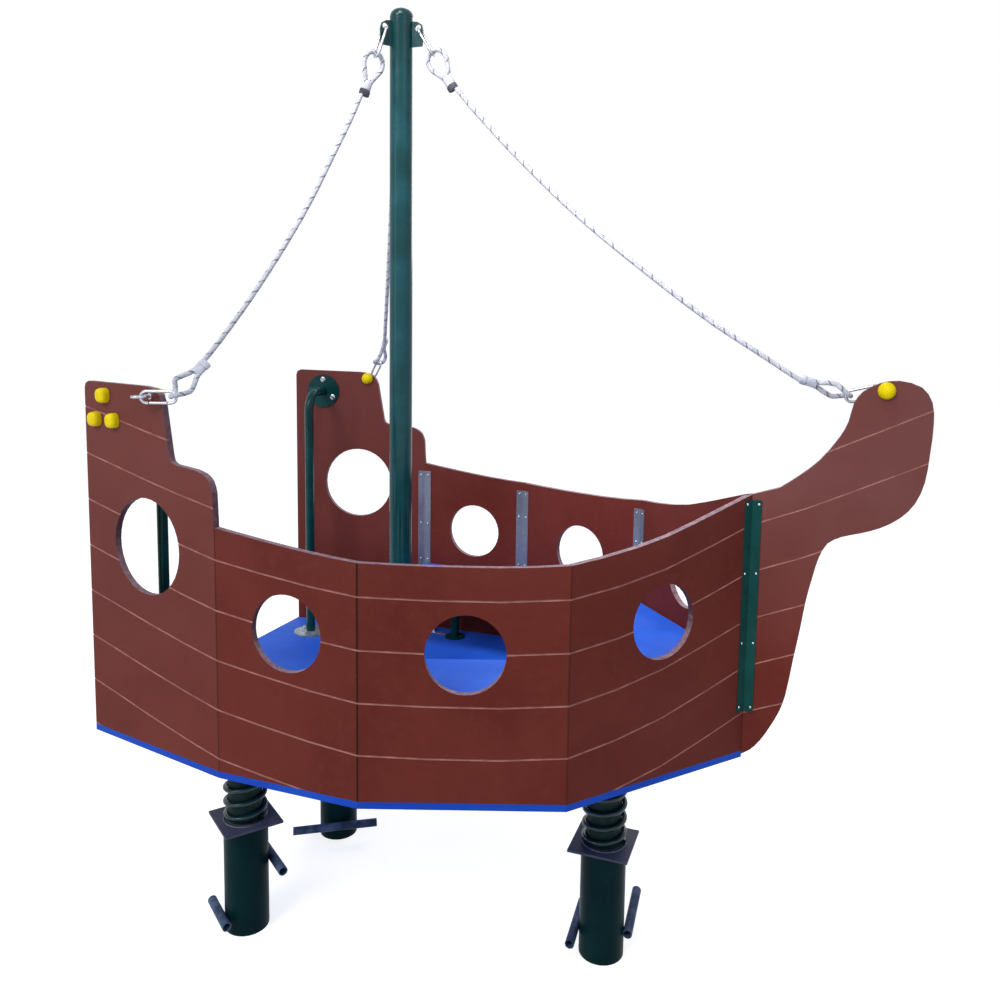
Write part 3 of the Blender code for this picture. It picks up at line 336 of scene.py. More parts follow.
def board_material(name, stations, outward, bleach_and_sky_light, seams=(), both_sides=False):
    """Brown sheet: plank grooves cut through to the pale core, dull cut edges with painted shade on those
    that face down, and painted shade in the seam gaps.

    The fourth argument gives the height at which the paling towards the top starts, where it is full, and its
    strength: sun bleaching, and on the prow painted light from the sky as well.
    """
    s = Shader(name)
    x, _, z = s.split(s.object)
    out = facing(s, outward)
    side = s.math("ABSOLUTE", out) if both_sides else out
    on_face = s.ramp(side, 0.3, 0.5)
    groove = s.math("MULTIPLY", groove_mask(s, stations, x, z), on_face)

    broad = s.noise(2.1, 4.0, 0.6, distort=0.4)
    mottle = s.noise(34.0, 6.0, 0.62)
    streak = s.noise(6.0, 5.0, 0.6, stretch=(2.0, 2.0, 16.0), distort=0.3)
    colour = s.mix(s.ramp(broad, 0.3, 0.72), (0.102, 0.0160, 0.0118), (0.130, 0.0235, 0.0178))
    colour = s.mix(s.ramp(mottle, 0.45, 0.8, 0.0, 0.35), colour, (0.155, 0.034, 0.027))
    colour = s.mix(s.ramp(streak, 0.56, 0.78, 0.0, 0.25), colour, (0.080, 0.0125, 0.0090))
    rub = s.math("MULTIPLY", s.ramp(s.noise(90.0, 3.0, 0.7, stretch=(1, 1, 5)), 0.67, 0.76),
                 s.ramp(s.noise(3.2, 2.0), 0.53, 0.68))
    colour = s.mix(s.math("MULTIPLY", rub, 0.22), colour, (0.30, 0.13, 0.11))
    # Paler towards the top: sun bleaching, and on the prow painted sky light as well.
    low, high, share = bleach_and_sky_light
    patches = s.ramp(s.noise(4.0, 3.0), 0.25, 0.6, 0.7, 1.0)
    bleach_and_sky_light_mask = s.math("MULTIPLY", s.ramp(z, low, high, 0.0, share), patches)
    colour = s.mix(bleach_and_sky_light_mask, colour, (0.160, 0.066, 0.064))
    # Darker lines along the seams: painted shade in the gaps between the panels.
    for number, (point, along, strength) in enumerate(seams):
        waver = s.math("MULTIPLY", s.noise(40.0 + number, 3.0), 0.002)
        near = s.math("ADD", from_plane(s, point, along), waver)
        gap_shade = s.math("MULTIPLY", s.ramp(near, 0.0050, 0.0028), strength)
        colour = s.mix(s.math("MULTIPLY", gap_shade, on_face), colour, (0.022, 0.006, 0.005))
    edge = s.ramp(s.math("ABSOLUTE", out), 0.62, 0.30)
    edge_colour = s.mix(s.ramp(s.noise(60.0, 4.0), 0.3, 0.7), (0.150, 0.085, 0.110), (0.250, 0.160, 0.200))
    # Cut edges that face down are darker: painted shade.
    edge_lit_share = s.ramp(facing(s, (0, 0, 1)), -0.25, 0.55)
    edge_colour = s.mix(edge_lit_share, s.mix(0.72, edge_colour, (0.040, 0.014, 0.014)), edge_colour)
    colour = s.mix(edge, colour, edge_colour)
    groove_colour = s.mix(s.ramp(s.noise(24.0, 4.0), 0.3, 0.7), (0.26, 0.108, 0.092), (0.38, 0.180, 0.160))
    colour = s.mix(groove, colour, groove_colour)
    rough = s.math("ADD", s.ramp(mottle, 0.3, 0.7, 0.42, 0.54), s.math("MULTIPLY", groove, 0.2))
    s.set(Base_Color=colour, Roughness=rough, Specular_IOR_Level=0.07,
          Normal=s.bump(s.noise(420.0, 3.0, 0.6), 0.12, 0.0006))
    return s.mat


def deck_material():
    """Blue sheet with a fine non-slip print on its faces, and painted shade on its upright faces and edges.
    """
    s = Shader("deck_blue")
    grain = s.cells(230.0)
    broad = s.noise(3.0, 4.0)
    colour = s.mix(s.ramp(broad, 0.3, 0.7), (0.007, 0.080, 0.58), (0.014, 0.112, 0.70))
    colour = s.mix(s.ramp(s.noise(120.0, 3.0, 0.7), 0.62, 0.74, 0.0, 0.4), colour, (0.036, 0.17, 0.76))
    level = s.ramp(s.math("ABSOLUTE", facing(s, (0, 0, 1))), 0.3, 0.6)
    dust = s.math("MULTIPLY", s.ramp(s.noise(1.4, 5.0, 0.65), 0.40, 0.75, 0.04, 0.20), level)
    colour = s.mix(dust, colour, (0.24, 0.34, 0.66))
    # Upright faces and edges darker: painted shade.
    colour = s.mix(level, s.mix(1.0, colour, (0.55, 0.62, 0.70), "MULTIPLY"), colour)
    s.set(Base_Color=colour, Roughness=s.ramp(grain, 0.0, 0.6, 0.42, 0.6), Specular_IOR_Level=0.12,
          Normal=s.bump(grain, 0.4, 0.0005))
    return s.mat


def coat_layers(s, dark, light, roughness, worn, gloss):
    """Powder coat: fine orange peel, patches of dust and small chips."""
    dust = s.noise(5.0, 5.0, 0.6)
    chips = s.math("MULTIPLY", s.ramp(s.noise(70.0, 5.0, 0.75), 0.71, 0.74), worn)
    colour = s.mix(s.ramp(dust, 0.35, 0.7), dark, light)
    colour = s.mix(s.ramp(s.noise(24.0, 5.0, 0.7, stretch=(1, 1, 0.35)), 0.60, 0.74, 0.0, 0.45), colour,
                   tuple(value * 0.35 for value in dark))
    colour = s.mix(chips, colour, (0.22, 0.24, 0.25))
    rough = s.ramp(dust, 0.3, 0.75, roughness - 0.05, roughness + 0.14)
    s.set(Roughness=rough, Specular_IOR_Level=gloss, Normal=s.bump(s.noise(300.0, 2.0), 0.12, 0.0006))
    return colour, rough


def coat_material(name, dark, light, roughness, worn, gloss):
    s = Shader(name)
    colour, _ = coat_layers(s, dark, light, roughness, worn, gloss)
    s.set(Base_Color=colour)
    return s.mat


def anchor_material(name, centre):
    """Black-green tube; its cross pipes are a bluer, paler coat."""
    s = Shader(name)
    colour, _ = coat_layers(s, (0.0008, 0.0125, 0.0155), (0.0014, 0.0200, 0.0235), 0.34, 0.12, 0.035)
    x, y, _ = s.split(s.object)
    dx, dy = s.math("SUBTRACT", x, STERN_X + centre[0]), s.math("SUBTRACT", y, centre[1])
    reach = s.math("SQRT", s.math("ADD", s.math("MULTIPLY", dx, dx), s.math("MULTIPLY", dy, dy)))
    pipe = s.mix(s.ramp(s.noise(22.0, 4.0), 0.35, 0.7), (0.030, 0.048, 0.092), (0.080, 0.118, 0.205))
    s.set(Base_Color=s.mix(s.ramp(reach, TUBE_R + 0.001, TUBE_R + 0.004), colour, pipe))
    return s.mat


def rail_material():
    """The rails are coated like the mast, but their deck flanges are bare and galvanised."""
    s = Shader("rail_coat")
    colour, rough = coat_layers(s, (0.0015, 0.032, 0.034), (0.004, 0.054, 0.056), 0.20, 0.2, 0.14)
    _, _, z = s.split(s.object)
    foot = s.ramp(z, DECK_TOP + RAIL_FLANGE + 0.0025, DECK_TOP + RAIL_FLANGE + 0.0008)
    grey = s.mix(s.ramp(s.noise(45.0, 5.0, 0.65), 0.35, 0.7), (0.20, 0.25, 0.29), (0.44, 0.52, 0.58))
    s.set(Base_Color=s.mix(foot, colour, grey), Roughness=s.math("ADD", rough, s.math("MULTIPLY", foot, 0.1)),
          Metallic=s.math("MULTIPLY", foot, 0.5))
    return s.mat


def zinc_material(name, tint, rough, spangle, metal=0.8):
    """Galvanised steel: soft cloudy patches and a faint spangle."""
    s = Shader(name)
    value = s.node("ShaderNodeRGBToBW")
    s.feed(value.inputs[0], s.cells(95.0, output="Color"))
    shade = s.ramp(value.outputs[0], 0.2, 0.8)
    cloud = s.noise(14.0, 5.0, 0.6, stretch=(1, 1, 0.3))
    colour = s.mix(s.ramp(cloud, 0.35, 0.68), tuple(c * 0.72 for c in tint), tint)
    colour = s.mix(s.math("MULTIPLY", shade, spangle), colour, tuple(c * 0.60 for c in tint))
    s.set(Base_Color=colour, Metallic=metal, Roughness=s.ramp(cloud, 0.3, 0.7, rough - 0.06, rough + 0.12),
          Normal=s.bump(s.noise(160.0, 3.0), 0.12, 0.0005))
    return s.mat


def plastic_material(name, colour, deep, roughness):
    s = Shader(name)
    base = s.mix(s.ramp(s.noise(26.0, 4.0), 0.35, 0.7), colour, deep)
    s.set(Base_Color=base, Roughness=s.ramp(s.noise(60.0, 3.0), 0.3, 0.7, roughness - 0.06, roughness + 0.1),
          Specular_IOR_Level=0.12, Normal=s.bump(s.noise(240.0, 2.0), 0.08, 0.0005))
    return s.mat


def rubber_material(name, dark, light):
    s = Shader(name)
    s.set(Base_Color=s.mix(s.ramp(s.noise(30.0, 5.0), 0.35, 0.75), dark, light),
          Roughness=s.ramp(s.noise(80.0, 4.0), 0.3, 0.7, 0.5, 0.75), Specular_IOR_Level=0.15,
          Normal=s.bump(s.noise(500.0, 3.0, 0.7), 0.25, 0.0006))
    return s.mat


def rope_material():
    """Pale twisted rope with painted shade between its yarns, and one dark yarn that comes round every few
    centimetres.

    The mesh's UV is (turns round the rope, metres along it).
    """
    s = Shader("rope")
    u, v, _ = s.split(s.coords.outputs["UV"])
    lay = s.math("ADD", s.math("MULTIPLY", u, YARNS), s.math("MULTIPLY", v, YARNS_PER_METRE))
    yarn = s.math("ABSOLUTE", s.math("SINE", s.math("MULTIPLY", lay, math.pi)))
    tracer = s.math("FRACT", s.math("SUBTRACT", s.math("MULTIPLY", v, 1 / TRACER_LAY), u))
    dark = s.ramp(s.math("ABSOLUTE", s.math("SUBTRACT", tracer, 0.5)), 0.10, 0.06)
    broken = s.ramp(s.noise(70.0, 3.0), 0.36, 0.44)
    fleck = s.math("MULTIPLY", s.math("MULTIPLY", dark, broken), s.ramp(yarn, 0.1, 0.4))
    colour = s.mix(s.ramp(s.noise(60.0, 4.0), 0.3, 0.7), (0.47, 0.49, 0.56), (0.63, 0.65, 0.72))
    # Darker between the yarns: painted shade in the creases.
    colour = s.mix(s.ramp(yarn, 0.35, 0.0), colour, (0.34, 0.35, 0.44))
    colour = s.mix(s.math("MULTIPLY", fleck, 0.9), colour, (0.090, 0.082, 0.125))
    s.set(Base_Color=colour, Roughness=0.82, Sheen_Weight=0.2, Normal=s.bump(yarn, 0.6, 0.0012))
    return s.mat


GREEN = coat_material("green_coat", (0.0015, 0.038, 0.036), (0.004, 0.058, 0.054), 0.28, 0.2, 0.08)
MAST_GREEN = coat_material("mast_coat", (0.0025, 0.036, 0.041), (0.006, 0.058, 0.073), 0.18, 0.2, 0.22)
SPRING_GREEN = coat_material("spring_coat", (0.0015, 0.0150, 0.0160), (0.004, 0.028, 0.030), 0.17, 0.3, 0.34)
RAIL = rail_material()
PLATE = coat_material("plate_coat", (0.038, 0.042, 0.068), (0.066, 0.070, 0.104), 0.46, 0.2, 0.12)
ZINC = zinc_material("zinc", (0.18, 0.20, 0.265), 0.46, 0.3, 0.45)
BRIGHT = zinc_material("bright_zinc", (0.60, 0.63, 0.69), 0.26, 0.15)
WELD = zinc_material("weld_bead", (0.12, 0.13, 0.17), 0.55, 0.6, 0.4)
YELLOW = plastic_material("yellow_plastic", (0.76, 0.60, 0.002), (0.66, 0.49, 0.001), 0.40)
CORE = rubber_material("core_rubber", (0.0015, 0.0110, 0.0120), (0.004, 0.020, 0.022))
TAPE = rubber_material("whipping_tape", (0.035, 0.036, 0.048), (0.085, 0.085, 0.11))
SLEEVE = plastic_material("rope_sleeve", (0.60, 0.62, 0.71), (0.40, 0.42, 0.52), 0.5)
ROPE = rope_material()


def dress(node, material):
    """Give a CAD node its finish."""
    NODES[node].data.materials.clear()
    NODES[node].data.materials.append(material)


def dress_round(node, material, angle=50.0):
    """Stand a copy of a turned or bent CAD node in for it, with joined facets and smooth shading."""
    bm = bmesh.new()
    bm.from_mesh(NODES[node].data)
    bmesh.ops.remove_doubles(bm, verts=bm.verts, dist=0.00002)
    bmesh.ops.dissolve_limit(bm, angle_limit=math.radians(0.6), verts=bm.verts, edges=bm.edges)
    obj = put(f"{node}_finish", bm, material, BODY_OF[node], angle)
    even = obj.modifiers.new("even_normals", "WEIGHTED_NORMAL")
    even.mode = "FACE_AREA"
    even.keep_sharp = True
    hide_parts(node)


def dress_frame():
    """Finish every CAD node that no other function replaces."""
    panels = ("stern_quarter_panel", "waist_panel", "midship_panel", "bow_panel")
    # Strength of the painted shade in each seam gap
    seam_gap_shade = {1: 0.55, 2: 1.0, 3: 0.45, 4: 0.8}
    for side, side_name in ((-1, "starboard"), (1, "port")):
        for number, panel in enumerate(panels):
            name = f"{panel}_{side_name}"
            plane = PanelPlane(number, side)
            seams = [(point, plane.along, seam_gap_shade[seam]) for seam, point in
                     ((number, plane.start), (number + 1, plane.end)) if seam in seam_gap_shade]
            # Paling towards the top: sun bleaching, its strength set per panel.
            bleach_and_sky_light = (0.75, 1.90, 0.36) if number == 0 else (1.35, 1.95, 0.20)
            dress(name, board_material(f"board_{name}", plane.groove_stations(number), plane.outward,
                                       bleach_and_sky_light, seams))
        for where in ("aft", "mid", "fore"):
            dress(f"seam_bracket_{where}_{side_name}", ZINC)
        dress(f"bow_bracket_{side_name}", GREEN)
        dress_round(f"grab_rail_{side_name}", RAIL)
    aft, length, steps = PROW_GROOVE
    stations = [NOSE_X - aft + length * k / steps for k in range(steps + 1)]
    # The prow's strong paling paints the sky light on its boards, on top of sun bleaching.
    dress("prow_panel", board_material("board_prow", stations, (0, 1, 0), (1.05, 1.75, 0.70),
                                       both_sides=True))
    blue = deck_material()
    dress("deck", blue)
    dress("bench", blue)
    dress("bench_frame", GREEN)
    dress_round("mast", MAST_GREEN, 35)
    dress_round("mast_cap", MAST_GREEN)
    for name, centre in SPRINGS.items():
        dress_round(f"anchor_{name}", anchor_material(f"anchor_coat_{name}", centre))
        dress(f"base_plate_{name}", PLATE)
        dress(f"top_plate_{name}", ZINC)
    for name in RIGGING:
        dress_round(f"eye_bolt_{name}", BRIGHT, 60)
        dress_round(f"nut_cap_{name}", YELLOW)
        for where in ("mast", "hull"):
            dress_round(f"carabiner_{where}_{name}", BRIGHT, 70)
            dress_round(f"gate_{where}_{name}", BRIGHT, 70)


# Meshes


def put(name, bm, material, body=None, angle=40.0):
    """Turn a bmesh into a piece of the scene with its material, smooth up to an edge angle, and on a body
    when one is given.
    """
    bmesh.ops.recalc_face_normals(bm, faces=bm.faces)
    mesh = bpy.data.meshes.new(name)
    bm.to_mesh(mesh)
    bm.free()
    mesh.shade_smooth()
    mesh.set_sharp_from_angle(angle=math.radians(angle))
    mesh.materials.append(material)
    obj = bpy.data.objects.new(name, mesh)
    bpy.context.scene.collection.objects.link(obj)
    if body:
        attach(obj, body)
    return obj


def frames_along(points):
    """Tangent and two cross directions at each point, without twist between them."""
    count = len(points)
    tangents = [(points[min(i + 1, count - 1)] - points[max(i - 1, 0)]).normalized() for i in range(count)]
    side = tangents[0].orthogonal().normalized()
    frames = []
    for tangent in tangents:
        side = (side - tangent * side.dot(tangent)).normalized()
        frames.append((tangent, side, tangent.cross(side)))
    return frames


def sweep(bm, points, section, sides, with_uv=False):
    """Skin rings along points and cap the ends; section(angle, length) gives a ring's radius."""
    uv = bm.loops.layers.uv.verify() if with_uv else None
    length, rings, lengths = 0.0, [], []
    for i, (point, (_, side, other)) in enumerate(zip(points, frames_along(points))):
        if i:
            length += (point - points[i - 1]).length
        lengths.append(length)
        ring = []
        for k in range(sides):
            angle = 2 * math.pi * k / sides
            r = section(angle, length)
            ring.append(bm.verts.new(point + r * (math.cos(angle) * side + math.sin(angle) * other)))
        rings.append(ring)
    for i in range(len(rings) - 1):
        for k in range(sides):
            n = (k + 1) % sides
            face = bm.faces.new((rings[i][k], rings[i][n], rings[i + 1][n], rings[i + 1][k]))
            if uv:
                for loop, (a, b) in zip(face.loops, ((k, i), (k + 1, i), (k + 1, i + 1), (k, i + 1))):
                    loop[uv].uv = (a / sides, lengths[b])
    bm.faces.new(list(reversed(rings[0])))
    bm.faces.new(rings[-1])
    return length


def stand(at, axis, turn=0.0):
    """Matrix that stands a shape made along +Z at a place, along an axis."""
    spin = UP.rotation_difference(Vector(axis)).to_matrix().to_4x4() @ Matrix.Rotation(turn, 4, "Z")
    return Matrix.Translation(at) @ spin


def join_rings(bm, rings, sides):
    """Faces between neighbouring rings, each of as many points as sides, or of one at a pole."""
    for low, high in zip(rings, rings[1:]):
        for k in range(sides):
            n = (k + 1) % sides
            corners = [low[k % len(low)], low[n % len(low)], high[n % len(high)], high[k % len(high)]]
            unique = list(dict.fromkeys(corners))
            if len(unique) > 2:
                bm.faces.new(unique)


def lathe(bm, profile, at, axis, segments, turn=0.0):
    """Revolve an open profile of (radius, height) about an axis; both ends meet the axis."""
    place = stand(at, axis, turn)
    rings = []
    for r, h in profile:
        if r < 1e-7:
            rings.append([bm.verts.new(place @ Vector((0, 0, h)))])
            continue
        ring = []
        for k in range(segments):
            angle = 2 * math.pi * k / segments
            ring.append(bm.verts.new(place @ Vector((r * math.cos(angle), r * math.sin(angle), h))))
        rings.append(ring)
    join_rings(bm, rings, segments)


def hex_bolt(bm, at, axis, turn):
    """Washer, and a hexagon head with a chamfer."""
    across = BOLT * 0.98
    washer = BOLT * 1.25
    lathe(bm, [(0, 0), (washer, 0), (washer, 0.0018), (washer - 0.0005, 0.0022), (0, 0.0022)], at, axis, 24)
    head = Vector(axis).normalized() * 0.0023
    lathe(bm, [(0, 0), (across, 0), (across, BOLT * 0.58), (across * 0.86, BOLT * 0.72), (0, BOLT * 0.72)],
          Vector(at) + head, axis, 6, turn)


def screw(bm, at, axis, radius=0.0045):
    """Round screw head with a small socket."""
    lathe(bm, [(0, 0), (radius, 0), (radius, 0.0008), (radius * 0.8, 0.0020), (radius * 0.42, 0.0026),
               (radius * 0.40, 0.0012), (0, 0.0012)], at, axis, 14)


def dome_cap(bm, at, axis, turn):
    """Soft-cornered cap: a squarish footprint that rounds off to a dome."""
    place = stand(at, axis, turn)
    rings = [[bm.verts.new(place @ Vector((0, 0, 0)))]]
    for share, lift in CAP_LEVELS:
        ring = []
        for k in range(CAP_SIDES):
            angle = 2 * math.pi * k / CAP_SIDES
            c, s = abs(math.cos(angle)), abs(math.sin(angle))
            squarish = 1.0 / (c ** CAP_POWER + s ** CAP_POWER) ** (1.0 / CAP_POWER)
            r = CAP_RADIUS * share * (1 + (squarish - 1) * 0.9)
            ring.append(bm.verts.new(place @ Vector((r * math.cos(angle), r * math.sin(angle),
                                                     CAP_HEIGHT * lift))))
        rings.append(ring)
    rings.append([bm.verts.new(place @ Vector((0, 0, CAP_HEIGHT)))])
    join_rings(bm, rings, CAP_SIDES)


# Camera, light and floor


def camera():
    """The photograph's own view."""
    yaw, pitch, roll = (math.radians(v) for v in CAMERA_TURN)
    ahead = Vector((-math.sin(yaw) * math.cos(pitch), math.cos(yaw) * math.cos(pitch), -math.sin(pitch)))
    level = Vector((math.cos(yaw), math.sin(yaw), 0))
    above = level.cross(ahead)
    right = math.cos(roll) * level + math.sin(roll) * above
    top = math.cos(roll) * above - math.sin(roll) * level
    data = bpy.data.cameras.new("camera")
    data.sensor_width = CAMERA_SENSOR
    data.lens = CAMERA_LENS * CAMERA_SENSOR
    data.shift_y = CAMERA_SHIFT
    obj = bpy.data.objects.new("camera", data)
    place = Matrix((right, top, -ahead)).transposed().to_4x4()
    place.translation = CAMERA_AT
    obj.matrix_world = place
    bpy.context.scene.collection.objects.link(obj)
    bpy.context.scene.camera = obj


def area(name, at, towards, size, power, colour=(1, 1, 1), spread=180):
    data = bpy.data.lights.new(name, "AREA")
    data.spread = math.radians(spread)
    data.shape = "RECTANGLE"
    data.size, data.size_y = size
    data.energy = power
    data.color = colour
    obj = bpy.data.objects.new(name, data)
    obj.location = at
    obj.rotation_mode = "QUATERNION"
    obj.rotation_quaternion = (Vector(towards) - Vector(at)).to_track_quat("-Z", "Y")
    bpy.context.scene.collection.objects.link(obj)


def seen_directly(tree):
    """1 for rays that carry the background: from the camera, or bounced by gloss or glass."""
    path = tree.nodes.new("ShaderNodeLightPath")
    seen = path.outputs["Is Camera Ray"]
    for ray in ("Is Glossy Ray", "Is Transmission Ray"):
        either = tree.nodes.new("ShaderNodeMath")
        either.operation = "MAXIMUM"
        tree.links.new(seen, either.inputs[0])
        tree.links.new(path.outputs[ray], either.inputs[1])
        seen = either.outputs[0]
    return seen


def mix_shaders(tree, factor, a, b, target):
    mix = tree.nodes.new("ShaderNodeMixShader")
    for source, socket in zip((factor, a, b), mix.inputs):
        tree.links.new(source, socket)
    tree.links.new(mix.outputs[0], target)


def studio_world():
    """Bluish light from all round, with a white background."""
    world = bpy.data.worlds.new("studio")
    bpy.context.scene.world = world
    world.use_nodes = True
    tree = world.node_tree
    ambient = tree.nodes["Background"]
    ambient.inputs["Color"].default_value = (0.86, 0.92, 1.0, 1)
    ambient.inputs["Strength"].default_value = 0.50
    white = tree.nodes.new("ShaderNodeBackground")
    white.inputs["Color"].default_value = (1, 1, 1, 1)
    white.inputs["Strength"].default_value = 1.0
    mix_shaders(tree, seen_directly(tree), ambient.outputs[0], white.outputs[0],
                tree.nodes["World Output"].inputs["Surface"])


def studio_floor():
    """Pale floor that keeps the shadows and fades to the white background."""
    bm = bmesh.new()
    bmesh.ops.create_grid(bm, x_segments=1, y_segments=1, size=30.0)
    mat = bpy.data.materials.new("floor")
    mat.use_nodes = True
    tree = mat.node_tree
    shader = tree.nodes["Principled BSDF"]
    shader.inputs["Base Color"].default_value = (0.82, 0.82, 0.82, 1)
    shader.inputs["Roughness"].default_value = 0.9
    glow = tree.nodes.new("ShaderNodeEmission")
    glow.inputs["Strength"].default_value = 1.9
    share = tree.nodes.new("ShaderNodeMath")
    share.operation = "MULTIPLY"
    share.inputs[1].default_value = 0.40
    tree.links.new(seen_directly(tree), share.inputs[0])
    mix_shaders(tree, share.outputs[0], shader.outputs[0], glow.outputs[0],
                tree.nodes["Material Output"].inputs["Surface"])
    put("floor", bm, mat)


def lights():
    """Soft lamps: name, place, aim, size, power, colour and spread."""
    area("key", (-3.4, -9.8, 9.4), (0.0, 0.0, 1.2), (4.4, 4.4), 830, (1.0, 0.985, 0.96))
    area("fill", (4.4, -3.4, 5.6), (0.2, 0.0, 1.2), (3.0, 3.0), 34, (0.93, 0.96, 1.0))
    area("inside", (0.0, -0.9, 3.9), (0.15, 0.6, 1.1), (1.2, 0.8), 10, (1.0, 0.985, 0.96), 60)
    area("strip", (-3.9, -4.9, 2.5), (-0.4, 0.0, 1.8), (0.5, 3.4), 42, (0.96, 0.98, 1.0))
    area("back", (0.5, 5.0, 4.0), (0.0, 0.0, 1.4), (4.0, 2.5), 110)


# Ropes


def fittings():
    """Where each rope's end fittings are, as the part's source places them."""
    places = {}
    for name, plan in RIGGING.items():
        if plan["side"]:
            plane = PanelPlane(0, plan["side"])
            face, outward = plane.at(EYE_U, EYE_Z), plane.outward
        else:
            face, outward = Vector((STERN_X + BOW_EYE[0], PROW_HALF, BOW_EYE[1])), Vector((0, 1, 0))
        place = {"ring": face + outward * EYE_OUT, "lay": plan["lay"]}
        place["hook"], place["eye"], place["top"] = (direction(*plan[key]) for key in ("hook", "eye", "top"))
        place["lug"] = Vector((STERN_X + MAST_X, 0, LUG_Z)) + direction(plan["lug"]) * LUG_REACH
        place["across"] = direction(plan["lug"] + 90)
        upright = UP - place["hook"] * place["hook"].dot(UP)
        place["upright"] = upright.normalized()
        normal = (upright - outward * outward.dot(upright)).normalized()
        in_ring = (place["hook"] - normal * place["hook"].dot(normal)).normalized()
        low = place["ring"] + in_ring * (EYE_RING - EYE_WIRE - HOOK_WIRE - RING_SLACK)
        place["low_hook"] = low + place["hook"] * HOOK_HALF
        place["top_hook"] = place["lug"] + place["top"] * (HANG + HOOK_HALF)
        places[name] = place
    return places


# One leg of a rope eye, from the sleeve to the tip: reach from the tip and half width
LOOP = ((0.150, 0.0084), (0.125, 0.0088), (0.100, 0.0125), (0.075, 0.0235), (0.050, 0.0330),
        (0.027, 0.0325), (0.008, 0.0215))


def eye_loop(tip, pull, through, spread):
    """Route of one eye: it passes through the carabiner along one direction, and its legs lie side
    by side along another."""
    tail, main = [], []
    for reach, half_width in LOOP:
        share = min(1.0, reach / 0.060)
        side = (through * (1 - share) + spread * share).normalized()
        tail.append(tip + pull * reach + side * half_width)
        main.append(tip + pull * reach - side * half_width)
    return tail + [tip] + list(reversed(main))


def rope_route(name, place):
    """The rope's route points, and where its two eyes' sleeves sit."""
    bow_middle = HOOK_HALF - HOOK_BEND
    slack = HOOK_BEND - HOOK_WIRE - ROPE_R - 5 * GAP
    top_tip = place["top_hook"] + place["top"] * (bow_middle + slack)
    low_tip = place["low_hook"] + place["hook"] * bow_middle + place["eye"] * slack
    top_side = place["across"].cross(place["top"])
    top = eye_loop(top_tip, place["top"], top_side, top_side)
    low_side = place["upright"].cross(place["hook"]) * place["lay"]
    level = place["upright"].cross(place["eye"]).normalized() * place["lay"]
    low_spread = (level + place["eye"].cross(level)).normalized()
    low = eye_loop(low_tip, place["eye"], low_side, low_spread)
    start, end = top[-1], low[-1]
    sag = BOW_SAG if name == "bow" else SIDE_SAG
    span = [end + (start - end) * share - UP * drop for share, drop in sag]
    sleeves = ((top_tip, place["top"], top_side), (low_tip, place["eye"], low_spread))
    return top + list(reversed(span)) + list(reversed(low)), sleeves


def smooth_points(route, step):
    """Points about a step apart on a smooth curve through the route."""
    lengths = [0.0]
    for a, b in zip(route, route[1:]):
        lengths.append(lengths[-1] + (b - a).length)
    tables = [[(length, point[axis]) for length, point in zip(lengths, route)] for axis in range(3)]
    count = round(lengths[-1] / step)
    return [Vector([hermite(table, lengths[-1] * n / count) for table in tables]) for n in range(count + 1)]


def rope_section(angle, length):
    """Three soft strands that wind round each other."""
    lay = STRANDS * angle + 2 * math.pi * length / STRAND_LAY
    return ROPE_R * (0.93 + 0.07 * abs(math.cos(lay / 2)) ** 0.7)


def sleeve(bm, tip, pull, spread, size):
    """Oval sleeve round both legs of a rope eye."""
    start, stop, wide, thick = size
    other = pull.cross(spread).normalized()
    across = other.cross(pull).normalized()
    stations = ((start, 0.90), (start + 0.003, 1.0), (stop - 0.003, 1.0), (stop, 0.88))
    rings = []
    for reach, share in stations:
        ring = []
        for k in range(SLEEVE_SIDES):
            angle = 2 * math.pi * k / SLEEVE_SIDES
            ring.append(bm.verts.new(tip + pull * reach + across * wide * share * math.cos(angle)
                                     + other * thick * share * math.sin(angle)))
        rings.append(ring)
    join_rings(bm, rings, SLEEVE_SIDES)
    bm.faces.new(list(reversed(rings[0])))
    bm.faces.new(rings[-1])


def ropes():
    for name, place in fittings().items():
        route, sleeves = rope_route(name, place)
        points = smooth_points(route, 0.005)
        bm = bmesh.new()
        length = sweep(bm, points, rope_section, 18, with_uv=True)
        rope = put(f"braided_rope_{name}", bm, ROPE, "hull")
        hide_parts(f"rope_{name}")
        # The mast end has a band of dark tape, the lower end a pale one like its sleeve
        dark, pale = bmesh.new(), bmesh.new()
        for (tip, pull, spread), band in zip(sleeves, (dark, pale)):
            sleeve(pale, tip, pull, spread, SLEEVE_SIZE)
            sleeve(band, tip, pull, spread, BAND_SIZE)
        wrap = put(f"rope_sleeves_{name}", pale, SLEEVE, "hull")
        tape = put(f"rope_tape_{name}", dark, TAPE, "hull")


# Springs


def coil_rise(t):
    """Share of the coil's height at share t of its turns: flat at both ends, even in between."""
    pace = 1 / (1 - COIL_FLAT)
    if t < COIL_FLAT:
        return pace * t ** 2 / (2 * COIL_FLAT)
    if t > 1 - COIL_FLAT:
        return 1 - pace * (1 - t) ** 2 / (2 * COIL_FLAT)
    return pace * (t - COIL_FLAT / 2)


def weld_ring(name, centre, radius):
    """Uneven weld bead in a ring on a base plate."""
    bm = bmesh.new()
    steps = 96
    rings = []
    for k in range(steps):
        angle = 2 * math.pi * k / steps
        out = Vector((math.cos(angle), math.sin(angle), 0))
        size = WELD_BEAD * (1 + 0.22 * math.sin(19 * angle) + 0.15 * math.sin(7 * angle + 1.3))
        rings.append([bm.verts.new(centre + out * (radius + size * math.cos(t)) + UP * size * math.sin(t))
                      for t in (0.0, 0.8, math.pi / 2, 2.3, math.pi)])
    for k, low in enumerate(rings):
        high = rings[(k + 1) % steps]
        for a in range(4):
            bm.faces.new((low[a], low[a + 1], high[a + 1], high[a]))
        bm.faces.new((low[4], low[0], high[0], high[4]))
    put(name, bm, WELD, "anchors", angle=80.0)


